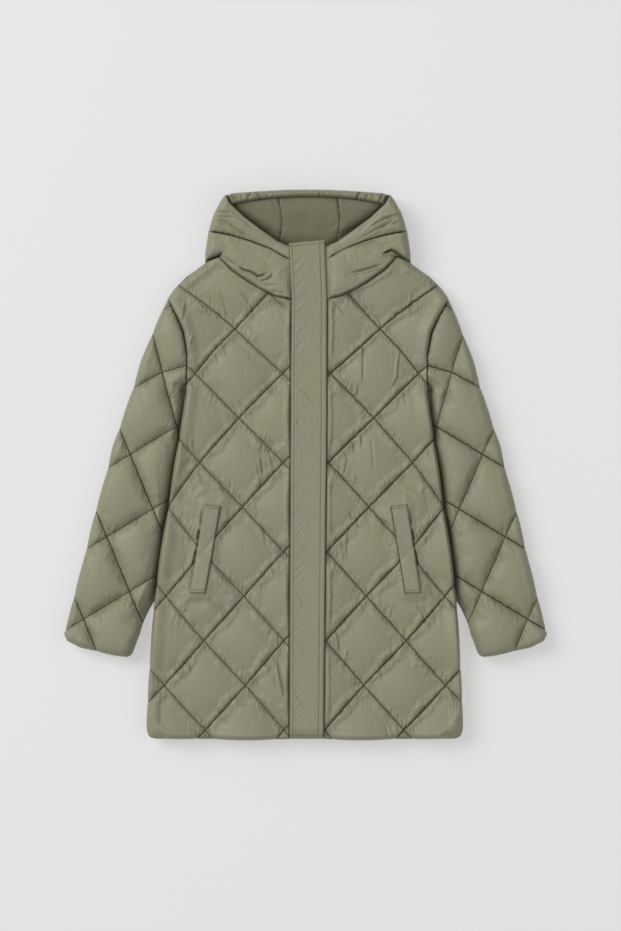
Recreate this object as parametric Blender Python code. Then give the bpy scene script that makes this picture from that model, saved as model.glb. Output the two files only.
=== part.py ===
"""Hooded puffer coat, laid flat on its back and seen from above.

X runs across the coat, Y from its hem to its hood, Z up from the surface it lies on.
Each panel is a padded wall: a flat sheet of its outline, cut along its quilting lines,
whose two faces are then given their heights. Sheets are worked in millimetres and, for
both sides alike, as a half coat whose x grows outwards from the centre line.
"""

import math
from collections import Counter

import bmesh
import bpy

MM = 0.001
RIGHT, LEFT = -1, 1  # the wearer's sides, as signs of X

# ---- driving sizes, in millimetres

SEAM_GAP = 0.3        # between pieces that touch
HEM_Y = -480.5        # hem, from the middle of the coat's length
HOOD_TOP_Y = 483.0
BULGE = 3.0           # puffs stand out this far past the notches in an edge
EDGE_ROWS = (4.0, 8.0, 14.0)  # widths of the rows that round an edge over
EDGE_RADIUS = sum(EDGE_ROWS)
SEAM_ROWS = (5.0, 15.0)

BACK_TOP = 22.0       # plain inside of the back
SIDE_SEAM = 21.0      # the side seam's height over the surface
LIP = 1.2             # thinnest edge of a wall
FRONT_INSIDE = BACK_TOP + SEAM_GAP
STITCH_LEVEL = 32.0   # quilting line on the fronts
PUFF_RISE = 18.0
PANEL_SEAM = 35.0     # sewn seams between front, sleeve and collar
SEAM_RADIUS = sum(SEAM_ROWS)
MOUTH = 1.7           # each wall parts this far at the hem

SLEEVE_STITCH = 30.0
SLEEVE_RISE = 17.0
SLIT = (20.9, 22.1)   # the sleeve's two walls lie this far apart
CUFF_LIPS = (15.0, 27.0)

CLOSING_X = 4.0       # the closing lies this far to the wearer's left of centre
ZIP_HALF = 4.0
STRIP_HALF = 36.0     # plain strip under the placket, from the closing
STRIP_LEVELS = ((-483.0, 40.0), (235.0, 40.0), (290.0, 42.5), (386.0, 52.0))  # y, height
STRIP_ROWS = (235.0, -100.0)  # cuts across the plain strip

PLACKET_THICK = 5.0
PLACKET_EDGES = (     # y, sewn edge, free edge
    (HEM_Y, -25.5, 34.0), (100.0, -26.6, 36.0), (290.0, -28.0, 34.0), (387.0, -32.5, 30.5))

WELT_CORNERS = ((175.5, -67.5), (147.5, -72.5), (173.5, -224.5), (201.0, -224.0))
WELT_THICK = 4.5
WELT_EDGE = 3.0
WELT_BED = 0.6        # how far the puffs are pressed down under a welt

# The coat does not lie quite straight: y, shift of its centre line
SWAY = ((-483.0, -2.5), (-200.0, -1.0), (130.0, 1.2), (290.0, 3.5), (483.0, 3.5))

SPREAD = {RIGHT: 1.004, LEFT: 1.012}  # the wearer's left lies a little wider
SWAY_ROWS = tuple(y for y, shift in SWAY[1:-1])

# ---- outlines of the half coat, as points (x, y)

NECK = ((33.0, 291.0), (56.0, 295.5), (81.0, 307.0), (104.0, 321.0), (133.0, 342.0), (154.0, 364.0))
SHOULDER_POINT = (177.0, 356.0)
SHOULDER = (SHOULDER_POINT, (196.0, 340.5), (211.5, 330.5), (232.0, 309.5), (244.0, 293.5))
ARMHOLE = ((244.0, 293.5), (236.0, 277.0), (224.5, 254.7), (215.0, 232.8), (208.5, 194.0),
           (208.5, 150.0), (210.0, 129.5))
SIDE = ((210.0, 129.5), (212.0, 97.0), (219.0, 54.0), (227.5, 0.0), (237.0, -61.0), (255.5, -190.0),
        (263.0, -250.0), (266.5, -320.0), (270.0, -362.0), (273.0, -425.0), (273.0, -466.0),
        (266.5, -476.0))
SLEEVE_OUTER = ((244.0, 293.5), (254.5, 268.0), (271.5, 225.0), (287.5, 183.0), (299.5, 141.0),
                (320.5, 78.0), (336.0, 33.0), (348.5, -21.0), (368.0, -90.0), (387.5, -174.0),
                (402.5, -231.0), (419.0, -297.0))
CUFF = ((419.0, -297.0), (400.5, -312.5), (354.0, -324.0), (304.5, -332.0))
SLEEVE_INNER = ((304.5, -332.0), (289.0, -299.0), (283.0, -278.0), (273.0, -255.0), (257.5, -230.0),
                (250.5, -190.0), (232.0, -61.0), (222.5, 0.0), (214.0, 54.0), (207.5, 97.0),
                (210.0, 129.5))

HOOD_OUTLINE = ((179.0, 362.0), (179.0, 373.0), (175.0, 398.0), (173.0, 408.5), (169.5, 421.0),
                (164.5, 436.0), (157.5, 452.0), (152.0, 461.0), (144.0, 470.0), (129.0, 477.0))
BAND_AT = 3           # the band's seam meets the hood's outline at this point
BAND_SEAM = ((173.0, 408.5), (150.0, 405.0), (130.4, 400.8), (98.9, 391.1), (64.8, 378.0), (36.0, 361.5))
BAND_SEAM_MIDDLE = 357.0
RIM = ((132.0, 454.6), (108.5, 432.0), (82.3, 412.6), (51.6, 391.3), (36.0, 384.5))
RIM_MIDDLE = 383.0
NECK_MIDDLE = 290.0
BRIM_END = ((129.0, 477.0), (132.0, 454.6))
BRIM_SEAM = ((132.0, 454.6), (83.0, 463.8), (50.4, 466.6), (20.0, 468.2))
BRIM_TOP = ((129.0, 477.0), (85.0, 480.0), (40.0, 482.5))
HOOD_CENTRE_HALF = 50.4
BACK_NECK_Y = 373.0
HOOD_GRID = 11.0      # cuts across the hood's unquilted panels
HOOD_ROWS = (3.5, 7.5)
RAMP_ROWS = tuple(range(385, 466, 12))  # rows that follow the slope of the hood's back

# ---- quilting: diamonds from seams that cross at whole steps

QUILT_TOP = 238.5     # crossing nearest the shoulder
QUILT_STEP = 78.1     # half a diamond's length
QUILT_COLUMNS = (     # y, then distances from the centre line of four columns of crossings
    (316.6, 56.0, 131.0, 228.0, 322.0),
    (160.4, 41.5, 121.0, 194.4, 262.0),
    (-73.9, 38.0, 110.3, 181.0, 240.0),
    (-464.4, 35.5, 101.0, 172.8, 246.0))
SLEEVE_CROSSING = (306.5, 18.5)
SLEEVE_ACROSS = (-60.0, -23.5)   # to the next column of crossings
SLEEVE_ALONG = (19.9, -72.2)     # half a diamond down the sleeve
QUILT_SHARES = (0.0, 0.1, 0.35, 0.65, 0.9)  # cuts across each diamond

COLOURS = {
    "shell": (0.245, 0.238, 0.165),
    "shell_dark": (0.196, 0.188, 0.125),
    "trim": (0.262, 0.255, 0.182),
    "zip": (0.150, 0.142, 0.090)}


# ---- small sums

def smooth(value, low, high):
    """Ease from 0 at low to 1 at high."""
    share = min(max((value - low) / (high - low), 0.0), 1.0)
    return share * share * (3.0 - 2.0 * share)


def rounded(distance, radius):
    """Quarter round: 0 at an edge, 1 from its radius inwards."""
    share = min(max(distance / radius, 0.0), 1.0)
    return math.sqrt(1.0 - (1.0 - share) ** 2)


def mix(first, second, share):
    return first + (second - first) * share


def read(table, key, column=1):
    """Value at key in a table whose rows start with rising or falling keys."""
    rows = sorted(table)
    for low, high in zip(rows, rows[1:]):
        if key <= high[0] or high is rows[-1]:
            share = min(max((key - low[0]) / (high[0] - low[0]), 0.0), 1.0)
            return mix(low[column], high[column], share)


def nearest(x, y, chain):
    """Distance from a point to a chain that runs clockwise, and the way outwards there."""
    best, way = 1e9, (0.0, 0.0)
    for (ax, ay), (bx, by) in zip(chain, chain[1:]):
        dx, dy = bx - ax, by - ay
        length = math.hypot(dx, dy)
        share = min(max(((x - ax) * dx + (y - ay) * dy) / length ** 2, 0.0), 1.0)
        distance = math.hypot(x - ax - share * dx, y - ay - share * dy)
        if distance < best:
            best, way = distance, (-dy / length, dx / length)
    return best, way


def away(x, y, chain):
    return nearest(x, y, chain)[0]


def divided(chain, step):
    """The same chain with points no more than step apart."""
    points = [chain[0]]
    for (ax, ay), (bx, by) in zip(chain, chain[1:]):
        count = math.ceil(math.hypot(bx - ax, by - ay) / step)
        points += [(mix(ax, bx, i / count), mix(ay, by, i / count)) for i in range(1, count + 1)]
    return points


def joined(*chains):
    """One closed outline from chains that meet end to end."""
    points = []
    for chain in chains:
        for point in chain:
            if not points or math.dist(point, points[-1]) > 0.01:
                points.append(point)
    return points[:-1] if math.dist(points[0], points[-1]) < 0.01 else points


def drawn_in(outline, amount):
    """A counter-clockwise outline with every edge moved inwards."""
    result = []
    for (ax, ay), (bx, by), (cx, cy) in zip(outline[-1:] + outline[:-1], outline, outline[1:] + outline[:1]):
        before, after = math.dist((ax, ay), (bx, by)), math.dist((bx, by), (cx, cy))
        nx = (ay - by) / before + (by - cy) / after
        ny = (bx - ax) / before + (cx - bx) / after
        scale = 2.0 * amount / (nx * nx + ny * ny)
        result.append((bx + nx * scale, by + ny * scale))
    return result


def counter_clockwise(outline):
    area = sum(a[0] * b[1] - b[0] * a[1] for a, b in zip(outline, outline[1:] + outline[:1]))
    return outline if area > 0.0 else outline[::-1]


# ---- heights shared by pieces that lie on each other

def strip_level(y):
    """Height of the fronts and collar under the placket."""
    return read(STRIP_LEVELS, y)


def hood_floor(y):
    """Inside of the hood's back, which rises from the neck to the brim."""
    return BACK_TOP + 20.0 * smooth(y, 380.0, 465.0)


def crown_level(y):
    """Top of the folded crown, under the hood's back."""
    return 24.0 * smooth(y, 400.0, 450.0)


def hood_crest(y):
    """Top of the collar and of the band round the opening."""
    return 52.0 + 12.0 * smooth(y, 380.0, 460.0)


# ---- quilting

def column_reach(y, column):
    return read(QUILT_COLUMNS, y, column + 1)


def quilt_place(across, along):
    """Point of the half coat at a place in the fronts' quilting."""
    y = QUILT_TOP - along * QUILT_STEP
    column = min(max(int(math.floor(across)), 0), 2)
    low, high = column_reach(y, column), column_reach(y, column + 1)
    return mix(low, high, across - column), y


def quilt_steps(x, y):
    """Place in the fronts' quilting of a point of the half coat."""
    column = 0
    while column < 2 and x > column_reach(y, column + 1):
        column += 1
    low, high = column_reach(y, column), column_reach(y, column + 1)
    return column + (x - low) / (high - low), (QUILT_TOP - y) / QUILT_STEP


def puff(across, along):
    """Fullness of the quilting: 0 on its seams, 1 in the middle of a diamond."""
    first, second = (across + along) / 2.0, (along - across) / 2.0
    return abs(math.sin(math.pi * first) * math.sin(math.pi * second)) ** 0.5


def quilt_cuts(reach, across_way, along_way, origin=(0.0, 0.0), offset=0.0):
    """Straight cuts on and between the quilting seams, as points and directions."""
    det = across_way[0] * along_way[1] - across_way[1] * along_way[0]
    grad_across = (along_way[1] / det, -along_way[0] / det)
    grad_along = (-across_way[1] / det, across_way[0] / det)
    cuts = []
    for sign in (1.0, -1.0):
        normal = (grad_along[0] + sign * grad_across[0], grad_along[1] + sign * grad_across[1])
        size = math.hypot(*normal)
        normal = (normal[0] / size, normal[1] / size)
        for step in range(-reach, reach + 1):
            for share in QUILT_SHARES:
                value = (2.0 * (step + share) + sign * offset) / size
                point = (origin[0] + normal[0] * value, origin[1] + normal[1] * value)
                cuts.append((point, normal))
    return cuts


# ---- solids from sheets

def cut_across(bm, geometry, point, way, snap):
    """Cut faces by an upright plane through a point, square to a way."""
    bmesh.ops.bisect_plane(bm, geom=geometry, dist=snap, plane_co=(*point, 0.0), plane_no=(*way, 0.0))


def cut_faces(bm, faces, point, way, snap):
    edges = {edge for face in faces for edge in face.edges}
    verts = {vert for face in faces for vert in face.verts}
    cut_across(bm, [*verts, *edges, *faces], point, way, snap)


def sheet(outline, rows, cuts, snap):
    """Flat face of an outline with rows along its border, cut across by straight lines."""
    bm = bmesh.new()
    middle = bm.faces.new([bm.verts.new((x, y, 0.0)) for x, y in counter_clockwise(outline)])
    bm.normal_update()
    for width in rows:
        bmesh.ops.inset_region(bm, faces=[middle], thickness=width, use_boundary=True, use_even_offset=True)
    for point, way in cuts:
        cut_across(bm, bm.verts[:] + bm.edges[:] + bm.faces[:], point, way, snap)
    return bm


def beside(bm, line, chain, reach):
    """Faces within reach of one line of a chain and nearer to it than to the others."""
    faces = []
    for face in bm.faces:
        x, y = face.calc_center_median().xy
        distance = away(x, y, line)
        if distance < reach and distance < away(x, y, chain) + 0.001:
            faces.append(face)
    return faces


def bordered(bm, chain, rows, snap=0.8):
    """Cut rows along a chain that runs clockwise round a sheet, on its inner side."""
    for (ax, ay), (bx, by) in zip(chain, chain[1:]):
        length = math.dist((ax, ay), (bx, by))
        inwards = ((by - ay) / length, (ax - bx) / length)
        for count in range(1, len(rows) + 1):
            width = sum(rows[:count])
            point = (ax + inwards[0] * width, ay + inwards[1] * width)
            faces = beside(bm, ((ax, ay), (bx, by)), chain, sum(rows) + 12.0)
            cut_faces(bm, faces, point, inwards, snap)


def plain_level(verts):
    """The height that most of these points share."""
    return Counter(round(vert.co.z, 3) for vert in verts).most_common(1)[0][0]


def merge_plain(bm, verts):
    """Make one face of the faces that lie at the height most of these points share."""
    level = plain_level(verts)
    flat = {vert for vert in verts if abs(vert.co.z - level) < 0.001}
    faces = [face for face in bm.faces if all(vert in flat for vert in face.verts)]
    if len(faces) > 1:
        bmesh.ops.dissolve_faces(bm, faces=faces)


def wall(bm, heights, plain_top=False):
    """Thicken a flat sheet: heights gives each point's place and its lower and upper face."""
    lower = bm.verts.layers.float.new("lower")
    upper = bm.verts.layers.float.new("upper")
    for vert in bm.verts:
        x, y, vert[lower], vert[upper] = heights(vert.co.x, vert.co.y)
        vert.co = (x, y, 0.0)
    bm.normal_update()
    bmesh.ops.solidify(bm, geom=bm.faces[:], thickness=1.0)
    middle = sum(vert.co.z for vert in bm.verts) / len(bm.verts)
    above = [vert for vert in bm.verts if vert.co.z > middle]
    below = [vert for vert in bm.verts if vert.co.z <= middle]
    for vert in above:
        vert.co.z = vert[upper]
    for vert in below:
        vert.co.z = vert[lower]
    merge_plain(bm, below)
    if plain_top:
        merge_plain(bm, above)
    return bm


def laid(bm, side):
    """Turn a half-coat mesh to its side of the coat, along the coat's swaying centre line."""
    for vert in bm.verts:
        x = side * vert.co.x
        vert.co.x = x * SPREAD[RIGHT if x < 0.0 else LEFT] + read(SWAY, vert.co.y)
    return bm


def material(name, colour):
    finish = bpy.data.materials.new(name)
    finish.use_nodes = True
    shader = finish.node_tree.nodes["Principled BSDF"]
    shader.inputs["Base Color"].default_value = (*COLOURS[colour], 1.0)
    shader.inputs["Roughness"].default_value = 0.45
    shader.inputs["Metallic"].default_value = 0.0
    return finish


def outward_mesh(name, bm):
    """A mesh in metres, its faces pointing out."""
    bm.normal_update()
    bmesh.ops.recalc_face_normals(bm, faces=bm.faces[:])
    bmesh.ops.scale(bm, vec=(MM, MM, MM), verts=bm.verts[:])
    mesh = bpy.data.meshes.new(name)
    bm.to_mesh(mesh)
    bm.free()
    return mesh


def piece(name, bm, colour="shell"):
    """Finish a mesh as a named piece of the coat, in metres."""
    mesh = outward_mesh(name, bm)
    mesh.materials.append(material(name, colour))
    mesh.shade_smooth()
    mesh.set_sharp_from_angle(angle=math.radians(50.0))
    obj = bpy.data.objects.new(name, mesh)
    coat.objects.link(obj)
    return obj


def cutter(name, bm):
    obj = bpy.data.objects.new(name, outward_mesh(name, bm))
    obj.hide_render = True
    obj.display_type = "WIRE"
    cutters.objects.link(obj)
    return obj


# ---- body

def closing_edge(side):
    """Edge of a front at the closing, in the half coat."""
    return side * CLOSING_X + ZIP_HALF


def strip_share(x, side):
    """1 under the placket, 0 where a front's puffs are free."""
    edge = side * CLOSING_X + STRIP_HALF
    return 1.0 - smooth(x, edge, edge + 16.0)


def hem_line(start):
    return (SIDE[-1], (200.0, -479.5), (100.0, HEM_Y), (start, HEM_Y))


def front_outline(side):
    start = closing_edge(side)
    closing = divided([(start, HEM_Y), (start, NECK_MIDDLE)], 40.0)
    hem = divided(hem_line(start), 40.0)
    return joined(closing, NECK, SHOULDER, ARMHOLE, divided(SIDE, 40.0), hem)


def welt_press(x, y):
    """1 under a pocket welt, fading to 0 round it."""
    (ax, ay), (dx, dy) = WELT_CORNERS[0], WELT_CORNERS[3]
    (bx, by), (cx, cy) = WELT_CORNERS[1], WELT_CORNERS[2]
    top, bottom = ((ax + bx) / 2, (ay + by) / 2), ((cx + dx) / 2, (cy + dy) / 2)
    return 1.0 - smooth(away(x, y, (top, bottom)), 15.0, 34.0)


def front_heights(side):
    """Rule for a front: a plain inside, and puffs between its seams outside."""
    start = closing_edge(side)
    neck = [(start, NECK_MIDDLE), *NECK, SHOULDER_POINT]
    rolled = [SHOULDER, SIDE, hem_line(start)]

    def heights(x, y):
        across, along = quilt_steps(x, y)
        fullness = puff(across + 1.0, along)
        crest = STITCH_LEVEL + PUFF_RISE * fullness
        crest = mix(crest, STITCH_LEVEL + PUFF_RISE * 0.62, WELT_BED * welt_press(x, y))
        crest = mix(crest, strip_level(y), strip_share(x, side))
        in_strip = strip_share(x, side)
        neck_low = mix(PANEL_SEAM, strip_level(y), in_strip)
        seam_away = min(away(x, y, neck), away(x, y, ARMHOLE))
        low = neck_low if away(x, y, neck) <= away(x, y, ARMHOLE) else PANEL_SEAM
        top = min(crest, mix(low, max(crest, low), rounded(seam_away, SEAM_RADIUS)))
        shift_x = shift_y = 0.0
        for chain in rolled:
            distance, way = nearest(x, y, chain)
            lip = FRONT_INSIDE + LIP
            top = min(top, mix(lip, max(crest, lip), rounded(distance, EDGE_RADIUS)))
            if distance < EDGE_RADIUS:
                amount = BULGE * fullness * (1.0 - distance / EDGE_RADIUS) * (1.0 - in_strip)
                amount *= smooth(seam_away, 2.0, 25.0)
                shift_x += way[0] * amount
                shift_y += way[1] * amount
        mouth = MOUTH * (1.0 - min(away(x, y, hem_line(start)) / EDGE_RADIUS, 1.0)) ** 2
        bottom = FRONT_INSIDE + mouth
        return x + shift_x, y + shift_y, bottom, max(top, bottom + LIP)

    return heights


def front_sheet(side):
    """A front's sheet, cut in quilting steps first and then along its plain strip."""
    outline = drawn_in(counter_clockwise(front_outline(side)), SEAM_GAP / 2.0)
    steps = [quilt_steps(x, y) for x, y in outline]
    cuts = quilt_cuts(7, (1.0, 0.0), (0.0, 1.0), offset=1.0)
    bm = sheet(counter_clockwise(steps), (), cuts, 0.012)
    for vert in bm.verts:
        vert.co = (*quilt_place(vert.co.x, vert.co.y), 0.0)
    hem = hem_line(closing_edge(side))
    bordered(bm, (*SHOULDER, *ARMHOLE[1:], *SIDE[1:], *hem[1:]), EDGE_ROWS)
    bordered(bm, (*NECK, SHOULDER_POINT), SEAM_ROWS)
    edge = side * CLOSING_X + STRIP_HALF
    cut_across(bm, bm.verts[:] + bm.edges[:] + bm.faces[:], (edge, 0.0), (1.0, 0.0), 0.4)
    for y in STRIP_ROWS:
        strip = [face for face in bm.faces if face.calc_center_median().x < edge]
        cut_faces(bm, strip, (0.0, y), (0.0, 1.0), 0.4)
    bmesh.ops.triangulate(bm, faces=bm.faces[:])
    return bm


def build_front(side, name):
    bm = wall(front_sheet(side), front_heights(side))
    piece(name, laid(bm, side))


def across_centre(chain):
    """The same chain on the other side, still clockwise."""
    return [(-x, y) for x, y in chain[::-1]]


def build_back():
    shoulder = [HOOD_OUTLINE[1], *SHOULDER]
    side_and_hem = [*SIDE, *hem_line(0.0)[1:]]
    rolled = [shoulder, side_and_hem]
    half = joined(shoulder, ARMHOLE, side_and_hem)
    outline = joined(half, [(0.0, HEM_Y)], across_centre(half))

    def heights(x, y):
        across = abs(x)
        bottom = 0.0
        for chain in rolled:
            bottom = max(bottom, SIDE_SEAM * (1.0 - rounded(away(across, y, chain), EDGE_RADIUS)))
        mouth = MOUTH * (1.0 - min(away(across, y, hem_line(0.0)) / EDGE_RADIUS, 1.0)) ** 2
        top = BACK_TOP - mouth
        return x, y, min(bottom, top - LIP + 0.2), top

    cuts = [((step * 60.0, step * 60.0), way) for step in range(-8, 8) for way in ((1.0, 0.0), (0.0, 1.0))]
    bm = sheet(drawn_in(counter_clockwise(outline), SEAM_GAP / 2.0), (), cuts, 0.8)
    for chain in (shoulder, across_centre(shoulder), side_and_hem + across_centre(side_and_hem)[1:]):
        bordered(bm, chain, EDGE_ROWS)
    piece("back", laid(wall(bm, heights, plain_top=True), 1))


# ---- sleeves

def sleeve_steps(x, y):
    """Place in a sleeve's quilting of a point of the half coat."""
    (ax, ay), (bx, by) = SLEEVE_ACROSS, SLEEVE_ALONG
    dx, dy = x - SLEEVE_CROSSING[0], y - SLEEVE_CROSSING[1]
    det = ax * by - ay * bx
    return (dx * by - dy * bx) / det, (ax * dy - ay * dx) / det


def tucked(distance):
    """Top of the sleeve's inner edge where it lies under the body's rounded side."""
    return read(((0.0, 4.5), (4.0, 8.5), (8.0, 16.0), (14.0, 29.0), (26.0, 41.0), (38.0, 47.0)), distance)


def sleeve_heights(x, y):
    """A flattened tube: flat where it rests, quilted above, round at its two long edges."""
    across, along = sleeve_steps(x, y)
    fullness = puff(across, along)
    crest = SLEEVE_STITCH + SLEEVE_RISE * fullness
    cap = away(x, y, ARMHOLE)
    top = min(crest, mix(PANEL_SEAM, max(crest, PANEL_SEAM), rounded(cap, SEAM_RADIUS)))
    outer, outer_way = nearest(x, y, SLEEVE_OUTER)
    inner = away(x, y, SLEEVE_INNER)
    cuff, cuff_way = nearest(x, y, CUFF)
    under_body = smooth(y, -290.0, -247.0)
    fold = SIDE_SEAM + LIP
    outer_round = rounded(outer, EDGE_RADIUS)
    inner_round = rounded(inner, EDGE_RADIUS)
    cuff_round = rounded(cuff, EDGE_RADIUS)
    top = min(top, mix(fold, crest, outer_round))
    top = min(top, mix(mix(fold, crest, inner_round), min(tucked(inner), crest), under_body))
    top = min(top, mix(CUFF_LIPS[1], crest, cuff_round))
    bottom = SIDE_SEAM * (1.0 - outer_round)
    bottom = max(bottom, mix(SIDE_SEAM * (1.0 - inner_round), 0.0, under_body))
    bottom = max(bottom, CUFF_LIPS[0] * (1.0 - cuff_round))
    fade = smooth(cap, 2.0, 25.0) * BULGE * fullness
    outer_shift = fade * max(1.0 - outer / EDGE_RADIUS, 0.0)
    cuff_shift = fade * max(1.0 - cuff / EDGE_RADIUS, 0.0)
    x += outer_way[0] * outer_shift + cuff_way[0] * cuff_shift
    y += outer_way[1] * outer_shift + cuff_way[1] * cuff_shift
    return x, y, min(bottom, top - LIP), top


def slit_heights(x, y):
    """The space between a sleeve's two walls, a little wider at its mouth."""
    parted = 1.3 * (1.0 - min(away(x, y, CUFF) / EDGE_RADIUS, 1.0)) ** 2
    return x, y, SLIT[0] - parted, SLIT[1] + parted


def beyond(point, towards, length):
    """A point carried past another by a length."""
    size = math.dist(point, towards)
    return (towards[0] + (towards[0] - point[0]) * length / size,
            towards[1] + (towards[1] - point[1]) * length / size)


def build_sleeve(side, name):
    outline = joined(SLEEVE_INNER[::-1], CUFF[::-1], SLEEVE_OUTER[::-1], ARMHOLE)
    outline = drawn_in(counter_clockwise(outline), SEAM_GAP / 2.0)
    cuts = quilt_cuts(6, SLEEVE_ACROSS, SLEEVE_ALONG, SLEEVE_CROSSING)
    bm = sheet(outline, (), cuts, 0.9)
    bordered(bm, (*SLEEVE_OUTER, *CUFF[1:], *SLEEVE_INNER[1:]), EDGE_ROWS)
    bordered(bm, ARMHOLE[::-1], SEAM_ROWS)
    bmesh.ops.triangulate(bm, faces=bm.faces[:])
    sleeve = piece(name, laid(wall(bm, sleeve_heights), side))
    inner_side = [(x + 17.0, y) for x, y in SLEEVE_INNER[:9]]
    outer_side = [(x - 17.0, y - 4.0) for x, y in SLEEVE_OUTER[1:]]
    inner_side.insert(0, beyond(inner_side[1], inner_side[0], 16.0))
    outer_side.append(beyond(outer_side[-2], outer_side[-1], 30.0))
    cap = [(214.0, 120.0), (203.0, 150.0), (203.0, 194.0), (218.0, 254.7), (228.0, 277.0)]
    slit = wall(sheet(joined(inner_side, cap, outer_side), (), (), 0.5), slit_heights)
    cut = sleeve.modifiers.new("slit", "BOOLEAN")
    cut.operation = "DIFFERENCE"
    cut.solver = "EXACT"
    cut.object = cutter(name + "_slit", laid(slit, side))


# ---- hood

def hood_cuts():
    """Even cuts across the hood's panels, with the rows of the hood's slope among them."""
    columns = [((x * HOOD_GRID, 0.0), (1.0, 0.0)) for x in range(-17, 18)]
    low_rows = [((0.0, float(y)), (0.0, 1.0)) for y in range(300, 380, 12)]
    rows = [((0.0, float(y)), (0.0, 1.0)) for y in RAMP_ROWS]
    return columns + low_rows + rows


def hollow(x, y):
    """How far the hood's upper wall stands off its back, towards the opening."""
    outline = joined(HOOD_OUTLINE, BRIM_END)
    return 10.0 * smooth(min(away(x, y, outline), away(x, y, NECK)), 0.0, 60.0)


# y, x of the ends of each large crease on the arms and sides of the hood, its depth and width
HOOD_CREASES = (
    ((168.0, 428.0), (112.0, 414.0), 5.0, 6.0),
    ((164.0, 443.0), (120.0, 436.0), 4.0, 5.0),
    ((150.0, 420.0), (100.0, 400.0), 4.0, 5.0),
    ((120.0, 376.0), (62.0, 352.0), 3.5, 6.0),
    ((92.0, 336.0), (62.0, 334.0), 5.0, 5.0))


def creased(x, y):
    """Depth of the creases at a point."""
    depth = 0.0
    for start, end, deep, width in HOOD_CREASES:
        distance = away(x, y, (start, end))
        depth += deep * math.exp(-(distance / width) ** 2)
    return depth


def upper_hood(side, seams, rolled, rim):
    """Rule for a stretch of the hood's upper wall."""

    def heights(x, y):
        floor = hood_floor(y) + SEAM_GAP * 2.0
        crest = hood_crest(y) - creased(x, y)
        in_strip = strip_share(x, side)
        crest = mix(crest, strip_level(y), in_strip)
        bottom = floor + hollow(x, y)
        top = crest
        for chain, low, radius in seams:
            top = min(top, mix(mix(low, strip_level(y), in_strip), crest, rounded(away(x, y, chain), radius)))
        for chain in rolled:
            top = min(top, mix(floor + LIP, crest, rounded(away(x, y, chain), EDGE_RADIUS)))
        if rim:
            distance = away(x, y, rim)
            middle = mix(bottom, crest, 0.55)
            top = min(top, mix(middle + 2.0, crest, rounded(distance, 14.0)))
            bottom = max(bottom, mix(middle - 2.0, bottom, rounded(distance, 14.0)))
        return x, y, bottom, max(top, bottom + LIP)

    return heights


def build_hood_side(side, name):
    start = closing_edge(side)
    neck = [(start, NECK_MIDDLE), *NECK]
    outline_edge = [SHOULDER_POINT, *HOOD_OUTLINE[:BAND_AT + 1]]
    seam = [*BAND_SEAM, (start, BAND_SEAM_MIDDLE)]
    outline = drawn_in(counter_clockwise(joined(neck, outline_edge, seam)), SEAM_GAP / 2.0)
    seams = ((neck, PANEL_SEAM, 22.0), (seam, 46.0, 14.0))
    rule = upper_hood(side, seams, [outline_edge, (NECK[-1], SHOULDER_POINT)], None)
    bm = sheet(outline, (), hood_cuts(), 1.5)
    bordered(bm, seam[::-1], HOOD_ROWS)
    bordered(bm, outline_edge[::-1], HOOD_ROWS)
    bordered(bm, neck[::-1], SEAM_ROWS)
    bmesh.ops.triangulate(bm, faces=bm.faces[:])
    piece(name, laid(wall(bm, rule), side))


def build_hood_band(side, name):
    start = closing_edge(side)
    seam = [(start, BAND_SEAM_MIDDLE), *BAND_SEAM[::-1]]
    edge = HOOD_OUTLINE[BAND_AT:]
    rim = [*RIM, (start, RIM_MIDDLE)]
    outline = drawn_in(counter_clockwise(joined(seam, edge, BRIM_END, rim)), SEAM_GAP / 2.0)
    seams = ((seam, 46.0, 14.0), (BRIM_END, 52.0, 10.0))
    rule = upper_hood(side, seams, [edge], rim)
    bm = sheet(outline, (), hood_cuts(), 1.5)
    for chain in (seam[::-1], rim[::-1], edge[::-1]):
        bordered(bm, chain, HOOD_ROWS)
    bmesh.ops.triangulate(bm, faces=bm.faces[:])
    piece(name, laid(wall(bm, rule), side), "trim")


def build_hood_brim():
    seam = [(-x, y) for x, y in BRIM_SEAM] + list(BRIM_SEAM[::-1])
    top = list(BRIM_TOP) + [(0.0, HOOD_TOP_Y)] + [(-x, y) for x, y in BRIM_TOP[::-1]]
    end = list(BRIM_END[::-1])
    far_end = [(-x, y) for x, y in BRIM_END]
    outline = drawn_in(counter_clockwise(joined(seam, end, top, far_end)), SEAM_GAP / 2.0)
    columns = [((x * 6.5, 0.0), (1.0, 0.0)) for x in range(-20, 21)]

    def heights(x, y):
        gather = 2.6 * math.sin(x / 7.6 + 0.9 * math.sin(x / 23.0)) * smooth(abs(x), 8.0, 45.0)
        crest = 61.0 + gather
        top_away = away(abs(x), y, (*BRIM_TOP, (0.0, HOOD_TOP_Y)))
        seam_away = away(abs(x), y, (*BRIM_SEAM, (0.0, 468.5)))
        end_away = away(abs(x), y, BRIM_END)
        upper = min(mix(27.0, crest, rounded(top_away, 12.0)), mix(46.0, crest, rounded(seam_away, 8.0)))
        upper = min(upper, mix(44.0, crest, rounded(end_away, 8.0)))
        return x, y, crown_level(y) + SEAM_GAP, upper

    piece("hood_brim", laid(wall(sheet(outline, (2.0, 3.0), columns, 1.0), heights), 1), "trim")


def lower_hood(x, y):
    """The hood's back: its inside slopes up to the brim, its outside lies on the folded crown."""
    edge = away(abs(x), y, HOOD_OUTLINE)
    bottom = max(crown_level(y), (hood_floor(y) - 1.2) * (1.0 - rounded(edge, EDGE_RADIUS)))
    return x, y, bottom, hood_floor(y)


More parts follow.
